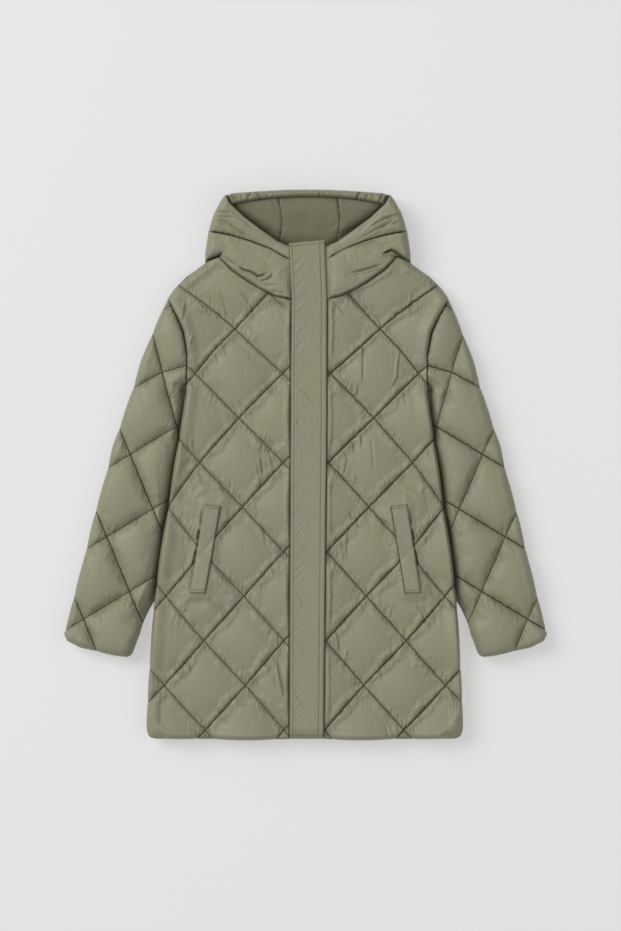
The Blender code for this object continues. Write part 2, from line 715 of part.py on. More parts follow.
def build_hood_centre():
    half = HOOD_CENTRE_HALF
    top = [(half, 466.6), (20.0, 468.2), (-20.0, 468.2), (-half, 466.6)]
    outline = joined([(-half, BACK_NECK_Y), (half, BACK_NECK_Y)], top)
    rows = [cut for cut in hood_cuts() if cut[1] == (0.0, 1.0)]
    bm = sheet(drawn_in(counter_clockwise(outline), SEAM_GAP / 2.0), (), rows, 0.2)
    piece("hood_centre", laid(wall(bm, lower_hood), 1), "shell_dark")


def build_hood_inner(side, name):
    half = HOOD_CENTRE_HALF
    edge = HOOD_OUTLINE[1:]
    outline = joined([(half, BACK_NECK_Y)], edge, BRIM_END, BRIM_SEAM[:3])
    rows = [cut for cut in hood_cuts() if cut[1] == (0.0, 1.0)]
    columns = [((x, 0.0), (1.0, 0.0)) for x in (80.0, 105.0, 125.0, 145.0)]
    bm = sheet(drawn_in(counter_clockwise(outline), SEAM_GAP / 2.0), (), rows + columns, 0.2)
    bordered(bm, edge[::-1], EDGE_ROWS)
    bmesh.ops.triangulate(bm, faces=bm.faces[:])
    piece(name, laid(wall(bm, lower_hood), side), "shell_dark")


def build_hood_fold():
    """The folded crown: layers that show as rounded edges round one solid."""
    half = [(150.0, 408.0), (163.0, 422.0), (157.0, 440.0), (149.0, 456.0), (139.0, 467.0), (124.0, 473.5),
            (84.0, 477.0), (40.0, 479.0)]
    outline = counter_clockwise(half + [(-x, y) for x, y in half[::-1]])
    layers = ((0.0, 5.0), (0.12, 1.5), (0.27, 0.0), (0.41, 1.5), (0.48, 5.0), (0.52, 5.0),
              (0.6, 2.0), (0.74, 0.5), (0.88, 2.0), (1.0, 6.0))  # share of the height, drawn in by
    bm = bmesh.new()
    loops = []
    for share, inset in layers:
        ring = [bm.verts.new((x, y, share * (crown_level(y) - 0.8))) for x, y in drawn_in(outline, inset)]
        loops.append([bm.edges.new(pair) for pair in zip(ring, ring[1:] + ring[:1])])
    for low, high in zip(loops, loops[1:]):
        bmesh.ops.bridge_loops(bm, edges=low + high)
    bmesh.ops.contextual_create(bm, geom=loops[0])
    bmesh.ops.contextual_create(bm, geom=loops[-1])
    rows = [cut for cut in hood_cuts() if cut[1] == (0.0, 1.0)]
    for point, way in rows:
        cut_across(bm, bm.verts[:] + bm.edges[:] + bm.faces[:], point, way, 0.2)
    piece("hood_fold", laid(bm, 1))


# ---- closing and pockets

def build_placket():
    """The storm flap, lying on the plain strips of both fronts and of the collar."""
    hem_rows = [HEM_Y + SEAM_GAP / 2.0 + sum(EDGE_ROWS[:count]) for count in (3, 2, 1)]
    ys = [387.0, 290.0, 235.0, *SWAY_ROWS[1::-1], *hem_rows, HEM_Y]
    sewn = [(read(PLACKET_EDGES, y, 1), y) for y in ys]
    free = [(read(PLACKET_EDGES, y, 2), y) for y in ys[::-1]]
    cuts = [((0.0, y), (0.0, 1.0)) for y in ys] + [((CLOSING_X, 0.0), (1.0, 0.0))]

    def heights(x, y):
        hem = rounded(y - HEM_Y, EDGE_RADIUS)
        bottom = mix(FRONT_INSIDE + LIP + MOUTH, strip_level(y), hem)
        bottom += SEAM_GAP + 0.7 * (1.0 - smooth(y - HEM_Y, 20.0, 27.0))
        edge = min(x - read(PLACKET_EDGES, y, 1), read(PLACKET_EDGES, y, 2) - x, 387.0 - y)
        return x, y, bottom, bottom + PLACKET_THICK * mix(0.55, 1.0, rounded(edge, 5.0))

    bm = sheet(joined(sewn, free), (), cuts, 0.4)
    bordered(bm, (*sewn[::-1], *free[::-1]), (1.5, 5.5), 0.4)
    piece("placket", laid(wall(bm, heights), 1), "trim")


def build_zip():
    """A plain strip that fills the closing under the placket."""
    start, end = CLOSING_X - ZIP_HALF + SEAM_GAP, CLOSING_X + ZIP_HALF - SEAM_GAP
    corners = ((start, HEM_Y + 1.0), (end, HEM_Y + 1.0), (end, 380.0), (start, 380.0))
    cuts = [((0.0, y), (0.0, 1.0)) for y in (HEM_Y + EDGE_RADIUS, *SWAY_ROWS, 300.0, 340.0)]

    def heights(x, y):
        low = FRONT_INSIDE + 0.1 + 12.0 * smooth(y, 300.0, 380.0)
        return x, y, low, low + 5.5

    piece("front_zip", laid(wall(sheet(corners, (), cuts, 0.2), heights), 1), "zip")


def build_welt(side, name):
    """A pocket welt, made from the points of the front that it lies on and moved out."""
    bm = front_sheet(side)
    rule = front_heights(side)
    for vert in bm.verts:
        x, y, _, vert.co.z = rule(vert.co.x, vert.co.y)
        vert.co.x, vert.co.y = x, y
    corners = counter_clockwise(list(WELT_CORNERS))
    for (ax, ay), (bx, by) in zip(corners, corners[1:] + corners[:1]):
        length = math.dist((ax, ay), (bx, by))
        nx, ny = (by - ay) / length, (ax - bx) / length
        for inset, drop in ((0.0, True), (WELT_EDGE, False)):
            geometry = bm.verts[:] + bm.edges[:] + bm.faces[:]
            bmesh.ops.bisect_plane(bm, geom=geometry, dist=0.05, clear_outer=drop,
                                   plane_co=(ax - nx * inset, ay - ny * inset, 0.0), plane_no=(nx, ny, 0.0))
    closed = corners + corners[:1]
    for vert in bm.verts:
        vert.co.z += SEAM_GAP
    level = bm.verts.layers.float.new("level")
    for vert in bm.verts:
        edge = away(vert.co.x, vert.co.y, closed)
        vert[level] = vert.co.z + WELT_THICK * mix(0.5, 1.0, rounded(edge, WELT_EDGE))
    grown = bmesh.ops.extrude_face_region(bm, geom=bm.faces[:], use_keep_orig=True)
    for vert in (item for item in grown["geom"] if isinstance(item, bmesh.types.BMVert)):
        vert.co.z = vert[level]
    piece(name, laid(bm, side), "trim")


def remove_everything():
    for obj in list(bpy.data.objects):
        bpy.data.objects.remove(obj)


def collection(name):
    made = bpy.data.collections.new(name)
    bpy.context.scene.collection.children.link(made)
    return made


remove_everything()
coat = collection("puffer_coat")
cutters = collection("cutters")

build_back()
for side, word in ((RIGHT, "right"), (LEFT, "left")):
    build_front(side, "front_" + word)
    build_sleeve(side, "sleeve_" + word)
    build_hood_side(side, "hood_side_" + word)
    build_hood_band(side, "hood_band_" + word)
    build_hood_inner(side, "hood_side_" + word + "_inner")
    build_welt(side, "pocket_welt_" + word)
build_hood_centre()
build_hood_brim()
build_hood_fold()
build_placket()
build_zip()
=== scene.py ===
"""Hooded puffer coat laid flat: its padded panels, stitching, cloth and studio.

Everything is worked in millimetres, as a half coat whose x grows outwards from the centre
line, and then laid to its side of the coat over the solid that it stands for.
"""

import math
from functools import partial

import bmesh
import bpy
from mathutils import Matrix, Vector, noise


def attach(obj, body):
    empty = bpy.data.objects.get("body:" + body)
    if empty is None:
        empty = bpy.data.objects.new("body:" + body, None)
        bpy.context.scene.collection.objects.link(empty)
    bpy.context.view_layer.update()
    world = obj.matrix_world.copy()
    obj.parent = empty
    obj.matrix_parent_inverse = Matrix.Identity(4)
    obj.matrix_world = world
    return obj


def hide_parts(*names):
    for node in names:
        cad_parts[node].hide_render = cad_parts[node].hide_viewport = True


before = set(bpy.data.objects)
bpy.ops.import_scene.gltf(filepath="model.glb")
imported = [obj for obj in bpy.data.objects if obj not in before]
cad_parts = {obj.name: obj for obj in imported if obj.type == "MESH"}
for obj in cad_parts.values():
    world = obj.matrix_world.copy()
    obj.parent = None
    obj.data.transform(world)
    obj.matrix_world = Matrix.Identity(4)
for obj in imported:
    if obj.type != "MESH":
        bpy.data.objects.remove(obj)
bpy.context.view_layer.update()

MM = 0.001
RIGHT, LEFT = -1, 1  # the wearer's sides, as signs of X

# ---- sizes, in millimetres

# the coat's edges, and heights of its layers from the floor up
SEAM_GAP = 0.3
HEM_Y = -480.5
HOOD_TOP_Y = 483
BULGE = 3  # how far puffs lean out over the coat's edge
EDGE_RADIUS = 26
BACK_TOP = 22
SIDE_SEAM = 21
LIP = 1.2  # least thickness of a padded edge
FRONT_INSIDE = BACK_TOP + SEAM_GAP
STITCH_LEVEL = 32
PUFF_RISE = 18  # over the stitching
UNDER_GROOVE = 3
PANEL_SEAM = 35
NECK_SEAM = 41
SEAM_RADIUS = 10
SHOULDER_RADIUS = 14
SIDE_RADIUS = {RIGHT: 6.5, LEFT: 4}
HEM_RADIUS = 8
MOUTH = 1.7  # between front and back at the hem

# sleeves
SLEEVE_STITCH = 30
SLEEVE_RISE = 17
SLEEVE_TUCK = ((0, 4.5), (4, 8.5), (8, 16), (14, 29), (26, 41), (38, 47))
SLEEVE_OUTER_RADIUS, SLEEVE_INNER_RADIUS, CUFF_RADIUS = 15, 18, 13
CUFF_LIPS = (15, 27)
CUFF_LIP_WIDTH = 3.4
MOUTH_DEPTH = 70

# hood
BAND_SEAM_LEVEL = 49
BRIM_CREST = 58
HOOD_ROLL = 14
RIM_RADIUS = 10

# closing, and the flat strip of the fronts under the placket
CLOSING_X = 4
ZIP_HALF = 4
TAPE_THICK = 1.6
TAPE_STEPS = 70
TAPE_STEP = 12.28
TEETH = 286
TOOTH_PITCH = 3
STRIP_HALF = 36
STRIP_RADIUS = 8
STRIP_TUCK = 3  # the puffs beside the placket lean over the strip's edge
STRIP_LEVELS = ((-483, 40), (235, 40), (290, 42.5), (386, 52))

# placket and pocket welts
PLACKET_THICK = 5
PLACKET_EDGES = ((HEM_Y, -25.5, 34), (100, -26.6, 36), (290, -28, 34), (387, -32.5, 30.5))
SEWN_STITCH, FREE_STITCH, TOP_STITCH, HEM_STITCH = 6, 9, 6.2, 6.5  # from the placket's edges
PLACKET_SHADE = {RIGHT: (1.8, 4.4), LEFT: (1, 3.2)}  # where it fades, from the placket's edge
WELT_CORNERS = ((175.5, -67.5), (147.5, -72.5), (173.5, -224.5), (201, -224))
WELT_THICK = 4.5
WELT_BED = 0.6  # share by which the puffs under a welt are pressed level
WELT_BED_REACH = (15, 34)
WELT_STITCHES = (0.6, 5.2)  # from the welt's ends

# how the centre line sways, and how far each side lies spread out
SWAY = ((-483, -2.5), (-200, -1), (130, 1.2), (290, 3.5), (483, 3.5))
SPREAD = {RIGHT: 1.004, LEFT: 1.012}

# the photograph's scale, and its pixel at the middle of the coat's centre line
MM_PER_PIXEL = 1.75
PHOTO_MIDDLE = (305.5, 465)

# ---- how fine the pieces are, and how much their cloth grows as it fills out

FRONT_FACES = 34  # between two quilting seams, before they are made finer
SLEEVE_FACES = 26
BACK_FACES = 22
HOOD_GRID = 2.4  # size of a face
INSIDE_GRID = 3.2
BRIM_GRID = 1.6
PLACKET_GRID = 2.3
WELT_GRID = 2
QUILT_GROWTH = 0.012  # share by which the cloth grows
CLOTH_FRAMES = 12
CLOTH = {
    "quality": 4, "mass": 0.02, "air_damping": 3, "tension_stiffness": 12, "compression_stiffness": 12,
    "shear_stiffness": 4, "bending_stiffness": 0.1, "tension_damping": 3, "compression_damping": 3,
    "use_pressure": True, "uniform_pressure_force": 12}
MOST_MOVE = 7  # of any point, as the cloth fills out
HOOD_GROWTH = 0.01
ON_SEAM = 0.012  # in steps of the quilting
CREASE_REACH = 4  # in widths of a crease
CORNER_TURN = 0.3  # radians at which an outline's corner is kept
SHARP_TURN = 0.9  # radians at which an edge stays crisp when it is made finer
SEAM_SHADE = 0.7

# ---- outlines of the half coat, as points (x, y)

NECK = ((33, 291), (56, 295.5), (81, 307), (104, 321), (133, 342), (154, 364))
NECK_MIDDLE = 290
SHOULDER_POINT = (177, 356)
SHOULDER = (SHOULDER_POINT, (196, 340.5), (211.5, 330.5), (232, 309.5), (244, 293.5))
ARMHOLE = ((244, 293.5), (236, 277), (224.5, 254.7), (215, 232.8), (208.5, 194),
           (208.5, 150), (210, 129.5))
SIDE = ((210, 129.5), (212, 97), (219, 54), (227.5, 0), (237, -61), (255.5, -190),
        (263, -250), (266.5, -320), (270, -362), (273, -425), (273, -466), (266.5, -476))
SLEEVE_OUTER = ((244, 293.5), (254.5, 268), (271.5, 225), (287.5, 183), (299.5, 141),
                (320.5, 78), (336, 33), (348.5, -21), (368, -90), (387.5, -174),
                (402.5, -231), (419, -297))
CUFF = ((419, -297), (412, -308), (391, -318.5), (361, -326.5), (330, -333), (309, -336),
        (302.5, -332))
SLEEVE_INNER = ((302.5, -332), (288.5, -299), (283, -278), (273, -255), (257.5, -230),
                (250.5, -190), (232, -61), (222.5, 0), (214, 54), (207.5, 97),
                (210, 129.5))
HOOD_OUTLINE = ((179, 362), (179, 373), (175, 398), (173, 408.5), (168.5, 425),
                (162.5, 441), (155.5, 454), (149, 465), (142.5, 473))
BAND_AT = 3  # the outline's point where the band's seam starts
BAND_SEAM = ((173, 408.5), (150, 405), (130.4, 400.8), (98.9, 391.1), (64.8, 378), (36, 361.5))
BAND_SEAM_MIDDLE = 357
RIM = ((132, 454.6), (108.5, 432), (82.3, 412.6), (51.6, 391.3), (36, 384.5))
RIM_MIDDLE = 383
BRIM_END = ((142.5, 473), (132, 454.6))
BRIM_SEAM = ((132, 454.6), (83, 463.8), (50.4, 466.6), (20, 468.2))
BRIM_TOP = ((142.5, 473), (130, 476.8), (85, 480), (40, 482.5))
HOOD_BACK_SEAM = {
    RIGHT: ((50.4, 373), (50, 390), (45.5, 410), (44.5, 430), (47.5, 451), (50.4, 466.6)),
    LEFT: ((50.4, 373), (52.8, 388), (54.6, 410), (55.3, 430), (53, 452), (50.4, 466.6))}

# ---- quilting

QUILT_TOP = 238.5
QUILT_STEP = 78.1
QUILT_COLUMNS = (
    (316.6, 56, 131, 228, 322),
    (160.4, 41.5, 121, 194.4, 262),
    (-73.9, 38, 110.3, 181, 240),
    (-464.4, 35.5, 101, 172.8, 246))
SLEEVE_CROSSING = (306.5, 18.5)
SLEEVE_ACROSS = (-60, -23.5)
SLEEVE_ALONG = (19.9, -72.2)
SEAM_SPACING = 111  # between neighbouring parallel quilting seams


# ---- small sums

def smooth(value, low, high):
    """Ease from 0 at low to 1 at high."""
    share = min(max((value - low) / (high - low), 0), 1)
    return share * share * (3 - 2 * share)


def faded(value, low, high):
    """Ease from 1 at low to 0 at high."""
    return 1 - smooth(value, low, high)


def bell(offset, width):
    """Fall from 1 in the middle to about a third at a width from it."""
    return math.exp(-(offset / width) ** 2)


def rounded(distance, radius):
    """Quarter round: 0 at an edge, 1 from its radius inwards."""
    share = min(max(distance / radius, 0), 1)
    return math.sqrt(1 - (1 - share) ** 2)


def mix(first, second, share):
    return first + (second - first) * share


def read(table, key, column=1):
    """Value at key in a table whose rows start with rising or falling keys."""
    rows = sorted(table)
    for low, high in zip(rows, rows[1:]):
        if key <= high[0] or high is rows[-1]:
            share = min(max((key - low[0]) / (high[0] - low[0]), 0), 1)
            return mix(low[column], high[column], share)


def nearest(x, y, chain):
    """Distance to a chain that runs clockwise, the way outwards and the point there."""
    best, way, point = 1e9, (0, 0), (x, y)
    for (ax, ay), (bx, by) in zip(chain, chain[1:]):
        dx, dy = bx - ax, by - ay
        square = dx * dx + dy * dy
        share = min(max(((x - ax) * dx + (y - ay) * dy) / square, 0), 1)
        px, py = ax + share * dx, ay + share * dy
        distance = math.hypot(x - px, y - py)
        if distance < best:
            length = math.sqrt(square)
            best, way, point = distance, (-dy / length, dx / length), (px, py)
    return best, way, point


def away(x, y, chain):
    return nearest(x, y, chain)[0]


def joined(*chains):
    """One closed outline from chains that meet end to end."""
    points = []
    for chain in chains:
        for point in chain:
            if not points or math.dist(point, points[-1]) > 0.01:
                points.append(point)
    return points[:-1] if math.dist(points[0], points[-1]) < 0.01 else points


def drawn_in(outline, amount):
    """A counter-clockwise outline with every edge moved inwards."""
    result = []
    for (ax, ay), (bx, by), (cx, cy) in zip(outline[-1:] + outline[:-1], outline, outline[1:] + outline[:1]):
        before, after = math.dist((ax, ay), (bx, by)), math.dist((bx, by), (cx, cy))
        nx = (ay - by) / before + (by - cy) / after
        ny = (bx - ax) / before + (cx - bx) / after
        scale = 2 * amount / (nx * nx + ny * ny)
        result.append((bx + nx * scale, by + ny * scale))
    return result


def counter_clockwise(outline):
    area = sum(a[0] * b[1] - b[0] * a[1] for a, b in zip(outline, outline[1:] + outline[:1]))
    return outline if area > 0 else outline[::-1]


def seamed(*chains):
    """A piece's outline, just clear of its neighbours."""
    return drawn_in(counter_clockwise(joined(*chains)), SEAM_GAP / 2)


def inside(x, y, outline):
    """Whether a point lies within a closed outline."""
    within = False
    for (ax, ay), (bx, by) in zip(outline, outline[1:] + outline[:1]):
        if (ay > y) != (by > y) and x < ax + (y - ay) * (bx - ax) / (by - ay):
            within = not within
    return within


def unevenness(x, y, z):
    """Soft unevenness between -1 and 1."""
    return noise.noise(Vector((x, y, z)))


def wander(x, y, size, seed=0):
    return unevenness(x / size, y / size, seed)


def crease(x, y, chain, depth, width):
    """Fall along the middle of a given crease, with a soft ridge beside it."""
    distance, way, point = nearest(x, y, chain)
    if distance > CREASE_REACH * width:
        return 0
    side = (x - point[0]) * way[0] + (y - point[1]) * way[1]
    total = sum(math.dist(a, b) for a, b in zip(chain, chain[1:]))
    reached = 0
    for a, b in zip(chain, chain[1:]):
        length = math.dist(a, b)
        if math.dist(a, point) + math.dist(point, b) < length + 0.001:
            reached += math.dist(a, point)
            break
        reached += length
    ends = smooth(reached, -0.1 * total, 0.18 * total) * faded(reached, 0.7 * total, 1.05 * total)
    ends *= math.exp(-max(distance - abs(side), 0) / width)
    rise = 0.45 * bell(side - 1.9 * width, 1.2 * width)
    return depth * ends * (rise - bell(side, width))


def boxed(table):
    """Creases, each with the box that it reaches."""
    rows = []
    for depth, width, chain in table:
        xs, ys = zip(*chain)
        reach = CREASE_REACH * width
        box = (min(xs) - reach, max(xs) + reach, min(ys) - reach, max(ys) + reach)
        rows.append((*box, depth, width, chain))
    return rows


def creased(x, y, rows):
    return sum(crease(x, y, chain, depth, width) for x0, x1, y0, y1, depth, width, chain in rows
               if x0 < x < x1 and y0 < y < y1)


# ---- heights shared by pieces that lie on each other

def strip_level(y):
    return read(STRIP_LEVELS, y)


def hood_floor(y):
    return BACK_TOP + 20 * smooth(y, 380, 465)


def crown_level(y):
    return 24 * smooth(y, 400, 450)


def hood_crest(y):
    return 52 + 12 * smooth(y, 380, 460)


# ---- quilting

def column_reach(y, column):
    return read(QUILT_COLUMNS, y, column + 1)


def sleeve_bend(x, y):
    """How far a sleeve's quilting is drawn in and down at its head."""
    head = smooth(y, 90, 160) * faded(y, 190, 240)
    return 0.15 * max(y - 62, 0), 0.3 * max(268 - x, 0) * head


def front_seams(x, y):
    """Place between a front's quilting seams, which lie at whole numbers."""
    column = 0
    while column < 2 and x > column_reach(y, column + 1):
        column += 1
    low, high = column_reach(y, column), column_reach(y, column + 1)
    across, along = column + (x - low) / (high - low), (QUILT_TOP - y) / QUILT_STEP
    return (along + across + 1) / 2, (along - across - 1) / 2


def sleeve_seams(x, y):
    """Place between a sleeve's quilting seams."""
    (ax, ay), (bx, by) = SLEEVE_ACROSS, SLEEVE_ALONG
    inwards = down = 0
    for _ in range(5):
        inwards, down = sleeve_bend(x + inwards, y + down)
    dx, dy = x + inwards - SLEEVE_CROSSING[0], y + down - SLEEVE_CROSSING[1]
    det = ax * by - ay * bx
    across, along = (dx * by - dy * bx) / det, (ax * dy - ay * dx) / det
    return (along + across) / 2, (along - across) / 2


def front_point(first, second):
    """Point of the half coat at a place between a front's quilting seams."""
    across, y = first - second - 1, QUILT_TOP - (first + second) * QUILT_STEP
    column = min(max(int(math.floor(across)), 0), 2)
    low, high = column_reach(y, column), column_reach(y, column + 1)
    return mix(low, high, across - column), y


def sleeve_point(first, second):
    (ax, ay), (bx, by) = SLEEVE_ACROSS, SLEEVE_ALONG
    across, along = first - second, first + second
    x = SLEEVE_CROSSING[0] + across * ax + along * bx
    y = SLEEVE_CROSSING[1] + across * ay + along * by
    inwards, down = sleeve_bend(x, y)
    return x - inwards, y - down


def puff(first, second):
    """Fullness of the quilting: 0 on its seams, 1 in the middle of a diamond."""
    return abs(math.sin(math.pi * first) * math.sin(math.pi * second)) ** 0.4


def pressed(fullness):
    """Depth of the quilting seams where puffs are pressed flat under the coat."""
    return UNDER_GROOVE * (1 - rounded(fullness, 0.62))


def ridged(x, y, z):
    """Thin crests with broad hollows between them, about a middle height of 0."""
    return 1 - min(abs(unevenness(x, y, z)) * 4.5, 1) - 0.35


def puckered(first, second):
    """Rise and fall of the cloth that the quilting draws together, and of longer wrinkles."""
    height = 0
    for across, along, number in ((first, second, 3), (second, first, 19)):
        line = round(across)
        gap = abs(across - line) * SEAM_SPACING
        if gap > 36:
            continue
        side = number + (5 if across > line else 0)
        crossing = 0.22 * faded(abs(along - round(along)), 0.05, 0.25)
        strength = smooth(unevenness(along * 2.6, line * 2.9, side + 80) + crossing, -0.1, 0.4)
        reach = 8 + 18 * strength + 10 * unevenness(along * 9, line * 5.7, side)
        if gap > reach:
            continue
        lean = 0.7 + 0.5 * unevenness(along * 1.3, line * 3.1, side + 40)
        place = (along - lean * (across - line)) * SEAM_SPACING
        crest = ridged(place / 7, line * 9.1, side + gap * 0.012)
        height += 3.2 * (0.06 + strength) * crest * smooth(gap, 0, 5) * (1 - gap / reach)
    return height


def drawn_up(x, y, chain, reach, seed, lean=0, height=1.6):
    """Puckers beside a sewn edge; their lean is how far they slip along it."""
    distance, way, (px, py) = nearest(x, y, chain)
    if distance > reach:
        return 0
    px, py = px - way[1] * lean * distance, py + way[0] * lean * distance
    strength = smooth(wander(px, py, 37, seed + 5), -0.25, 0.35)
    crest = ridged(px / 9, py / 9, seed)
    return height * (0.1 + strength) * crest * smooth(distance, 0, 4) * (1 - distance / reach)


# ---- sheets

def lattice(point, first_range, second_range, per_step):
    """A grid whose rows follow the quilting seams, laid out in millimetres."""
    (a, b), (c, d) = first_range, second_range
    bm = bmesh.new()
    columns, rows = (round((high - low) * per_step) for low, high in (first_range, second_range))
    bmesh.ops.create_grid(bm, x_segments=columns, y_segments=rows, size=0.5)
    for vert in bm.verts:
        first = a + (vert.co.x + 0.5) * (b - a)
        second = c + (vert.co.y + 0.5) * (d - c)
        vert.co = (*point(first, second), 0)
    return bm


def cut_sheet(outline, spacing):
    """A sheet of square faces, cut to an outline."""
    xs, ys = zip(*outline)
    low = (min(xs) - spacing, min(ys) - spacing)
    wide, tall = (max(values) - min(values) + 2 * spacing for values in (xs, ys))
    bm = bmesh.new()
    bmesh.ops.create_grid(bm, x_segments=round(wide / spacing), y_segments=round(tall / spacing), size=0.5)
    for vert in bm.verts:
        vert.co = (low[0] + (vert.co.x + 0.5) * wide, low[1] + (vert.co.y + 0.5) * tall, 0)
    return trimmed(bm, outline)


def trimmed(bm, outline):
    """Keep what lies within an outline and bring the border onto it."""
    (left, right), (near, far) = ((min(values), max(values)) for values in zip(*outline))
    doomed = []
    for face in bm.faces:
        x, y = face.calc_center_median().xy
        in_box = left < x < right and near < y < far
        if not in_box or not inside(x, y, outline):
            doomed.append(face)
    bmesh.ops.delete(bm, geom=doomed, context="FACES")
    closed = outline + outline[:1]
    border = [vert for vert in bm.verts if vert.is_boundary]
    for vert in border:
        vert.co = (*nearest(vert.co.x, vert.co.y, closed)[2], 0)
    for before, corner, after in zip(outline[-1:] + outline[:-1], outline, outline[1:] + outline[:1]):
        turn = math.atan2(after[1] - corner[1], after[0] - corner[0])
        turn -= math.atan2(corner[1] - before[1], corner[0] - before[0])
        if abs(math.remainder(turn, 2 * math.pi)) > CORNER_TURN:
            closest = min(border, key=lambda vert: math.dist(vert.co.xy, corner))
            closest.co = (*corner, 0)
    beside = {vert for edge_vert in border for edge in edge_vert.link_edges for vert in edge.verts}
    beside |= {vert for middle in list(beside) for edge in middle.link_edges for vert in edge.verts}
    loose = [vert for vert in beside if not vert.is_boundary]
    for _ in range(3):
        bmesh.ops.smooth_vert(bm, verts=loose, factor=0.5, use_axis_x=True, use_axis_y=True)
    return bm


def layers_of(bm, *names):
    """The numbers that a mesh's points carry under these names, new ones where there are none."""
    layers = bm.verts.layers.float
    return [layers.get(name) or layers.new(name) for name in names]


def marked(bm, seams):
    """Remember each point's place in the quilting before it moves."""
    first, second = layers_of(bm, "first", "second")
    for vert in bm.verts:
        vert[first], vert[second] = seams(vert.co.x, vert.co.y)
    return first, second


def mapped(bm):
    """Make a map of the quilting for the cloth's material: its seams lie at whole numbers."""
    first, second = layers_of(bm, "first", "second")
    chart = bm.loops.layers.uv.new("quilting")
    for face in bm.faces:
        for loop in face.loops:
            loop[chart].uv = loop.vert[first], loop.vert[second]


def skinned(rings):
    """A closed solid over rings of points that follow each other."""
    bm = bmesh.new()
    loops = []
    for points in rings:
        ring = [bm.verts.new(point) for point in points]
        loops.append([bm.edges.new(pair) for pair in zip(ring, ring[1:] + ring[:1])])
    for low, high in zip(loops, loops[1:]):
        bmesh.ops.bridge_loops(bm, edges=low + high)
    for end in (loops[0], loops[-1]):
        bmesh.ops.contextual_create(bm, geom=end)
    return bm


def to_object(name, bm, scale=MM):
    """A named object from a mesh in millimetres."""
    bmesh.ops.scale(bm, vec=(scale, scale, scale), verts=bm.verts[:])
    mesh = bpy.data.meshes.new(name)
    bm.to_mesh(mesh)
    bm.free()
    obj = bpy.data.objects.new(name, mesh)
    bpy.context.scene.collection.objects.link(obj)
    return obj


def from_object(obj):
    """The mesh of an object with its modifiers, in millimetres; the object goes."""
    graph = bpy.context.evaluated_depsgraph_get()
    mesh = bpy.data.meshes.new_from_object(obj.evaluated_get(graph))
    bm = bmesh.new()
    bm.from_mesh(mesh)
    bmesh.ops.scale(bm, vec=(1 / MM,) * 3, verts=bm.verts[:])
    bpy.data.objects.remove(obj)
    bpy.data.meshes.remove(mesh)
    return bm


def filled_out(bm, held, growth, share=None):
    """Let the cloth between held points grow and fill out, and settle into creases.

    A share function says how much of its move each point keeps.
    """
    start = [vert.co.copy() for vert in bm.verts]
    held_points = [vert.index for vert in bm.verts if held(vert)]
    obj = to_object("cloth", bm)
    group = obj.vertex_groups.new(name="held")
    group.add(held_points, 1, "REPLACE")
    cloth = obj.modifiers.new("cloth", "CLOTH")
    for label, value in CLOTH.items():
        setattr(cloth.settings, label, value)
    cloth.settings.vertex_group_mass = "held"
    cloth.settings.shrink_min = -growth
    cloth.settings.effector_weights.gravity = 0
    cloth.collision_settings.use_collision = False
    cloth.point_cache.frame_start = 1
    cloth.point_cache.frame_end = CLOTH_FRAMES
    for number in range(1, CLOTH_FRAMES + 1):
        bpy.context.scene.frame_set(number)
    bm = from_object(obj)
    bm.verts.ensure_lookup_table()
    for vert, place in zip(bm.verts, start):
        move = vert.co - place
        kept = share(place) if share else 1
        vert.co = place + move * kept * min(1, MOST_MOVE / max(move.length, 0.001))
    bpy.context.scene.frame_set(1)
    return bm


def finer(bm):
    """One level of subdivision."""
    obj = to_object("finer", bm)
    more = obj.modifiers.new("finer", "SUBSURF")
    more.levels = more.render_levels = 1
    more.boundary_smooth = "PRESERVE_CORNERS"
    return from_object(obj)


def closed_below(bm, bottom, outline, tuck=3):
    """Turn an open upper face into a closed padded piece over a plain inside."""
    closed = outline + outline[:1]
    rim = [edge for edge in bm.edges if edge.is_boundary]
    for amount in (0, tuck):
        grown = bmesh.ops.extrude_edge_only(bm, edges=rim)["geom"]
        for vert in (item for item in grown if isinstance(item, bmesh.types.BMVert)):
            x, y = vert.co.xy
            if amount:
                _, way, point = nearest(x, y, closed)
                x, y = point[0] + way[0] * amount, point[1] + way[1] * amount
            vert.co = (x, y, min(bottom(x, y), vert.co.z))
        rim = [item for item in grown if isinstance(item, bmesh.types.BMEdge) and item.is_boundary]
    bmesh.ops.contextual_create(bm, geom=rim)


def laid(bm, side):
    """Turn a half-coat mesh to its side of the coat, along the coat's swaying centre line."""
    for vert in bm.verts:
        x = side * vert.co.x
        vert.co.x = x * SPREAD[RIGHT if x < 0 else LEFT] + read(SWAY, vert.co.y)
    bmesh.ops.recalc_face_normals(bm, faces=bm.faces[:])
    return bm


# ---- body

def closing_edge(side):
    return side * CLOSING_X + ZIP_HALF


def placket_edge(side, y):
    """The placket's edge over a front, in that front's half of the coat."""
    return read(PLACKET_EDGES, y, 2) if side == LEFT else -read(PLACKET_EDGES, y, 1)


def strip_edge(side):
    """Where a front's puffs start, just past the placket."""
    return side * CLOSING_X + STRIP_HALF - STRIP_TUCK


def strip_share(x, side):
    return 1 - rounded(x - strip_edge(side), STRIP_RADIUS)


def hem_line(start):
    return (SIDE[-1], (200, -479.5), (100, HEM_Y), (start, HEM_Y))


def front_outline(side):
    start = closing_edge(side)
    return seamed([(start, HEM_Y), (start, NECK_MIDDLE)], NECK, SHOULDER, ARMHOLE, SIDE, hem_line(start))


def welt_press(x, y):
    (ax, ay), (dx, dy) = WELT_CORNERS[0], WELT_CORNERS[3]
    (bx, by), (cx, cy) = WELT_CORNERS[1], WELT_CORNERS[2]
    top, bottom = ((ax + bx) / 2, (ay + by) / 2), ((cx + dx) / 2, (cy + dy) / 2)
    return faded(away(x, y, (top, bottom)), *WELT_BED_REACH)


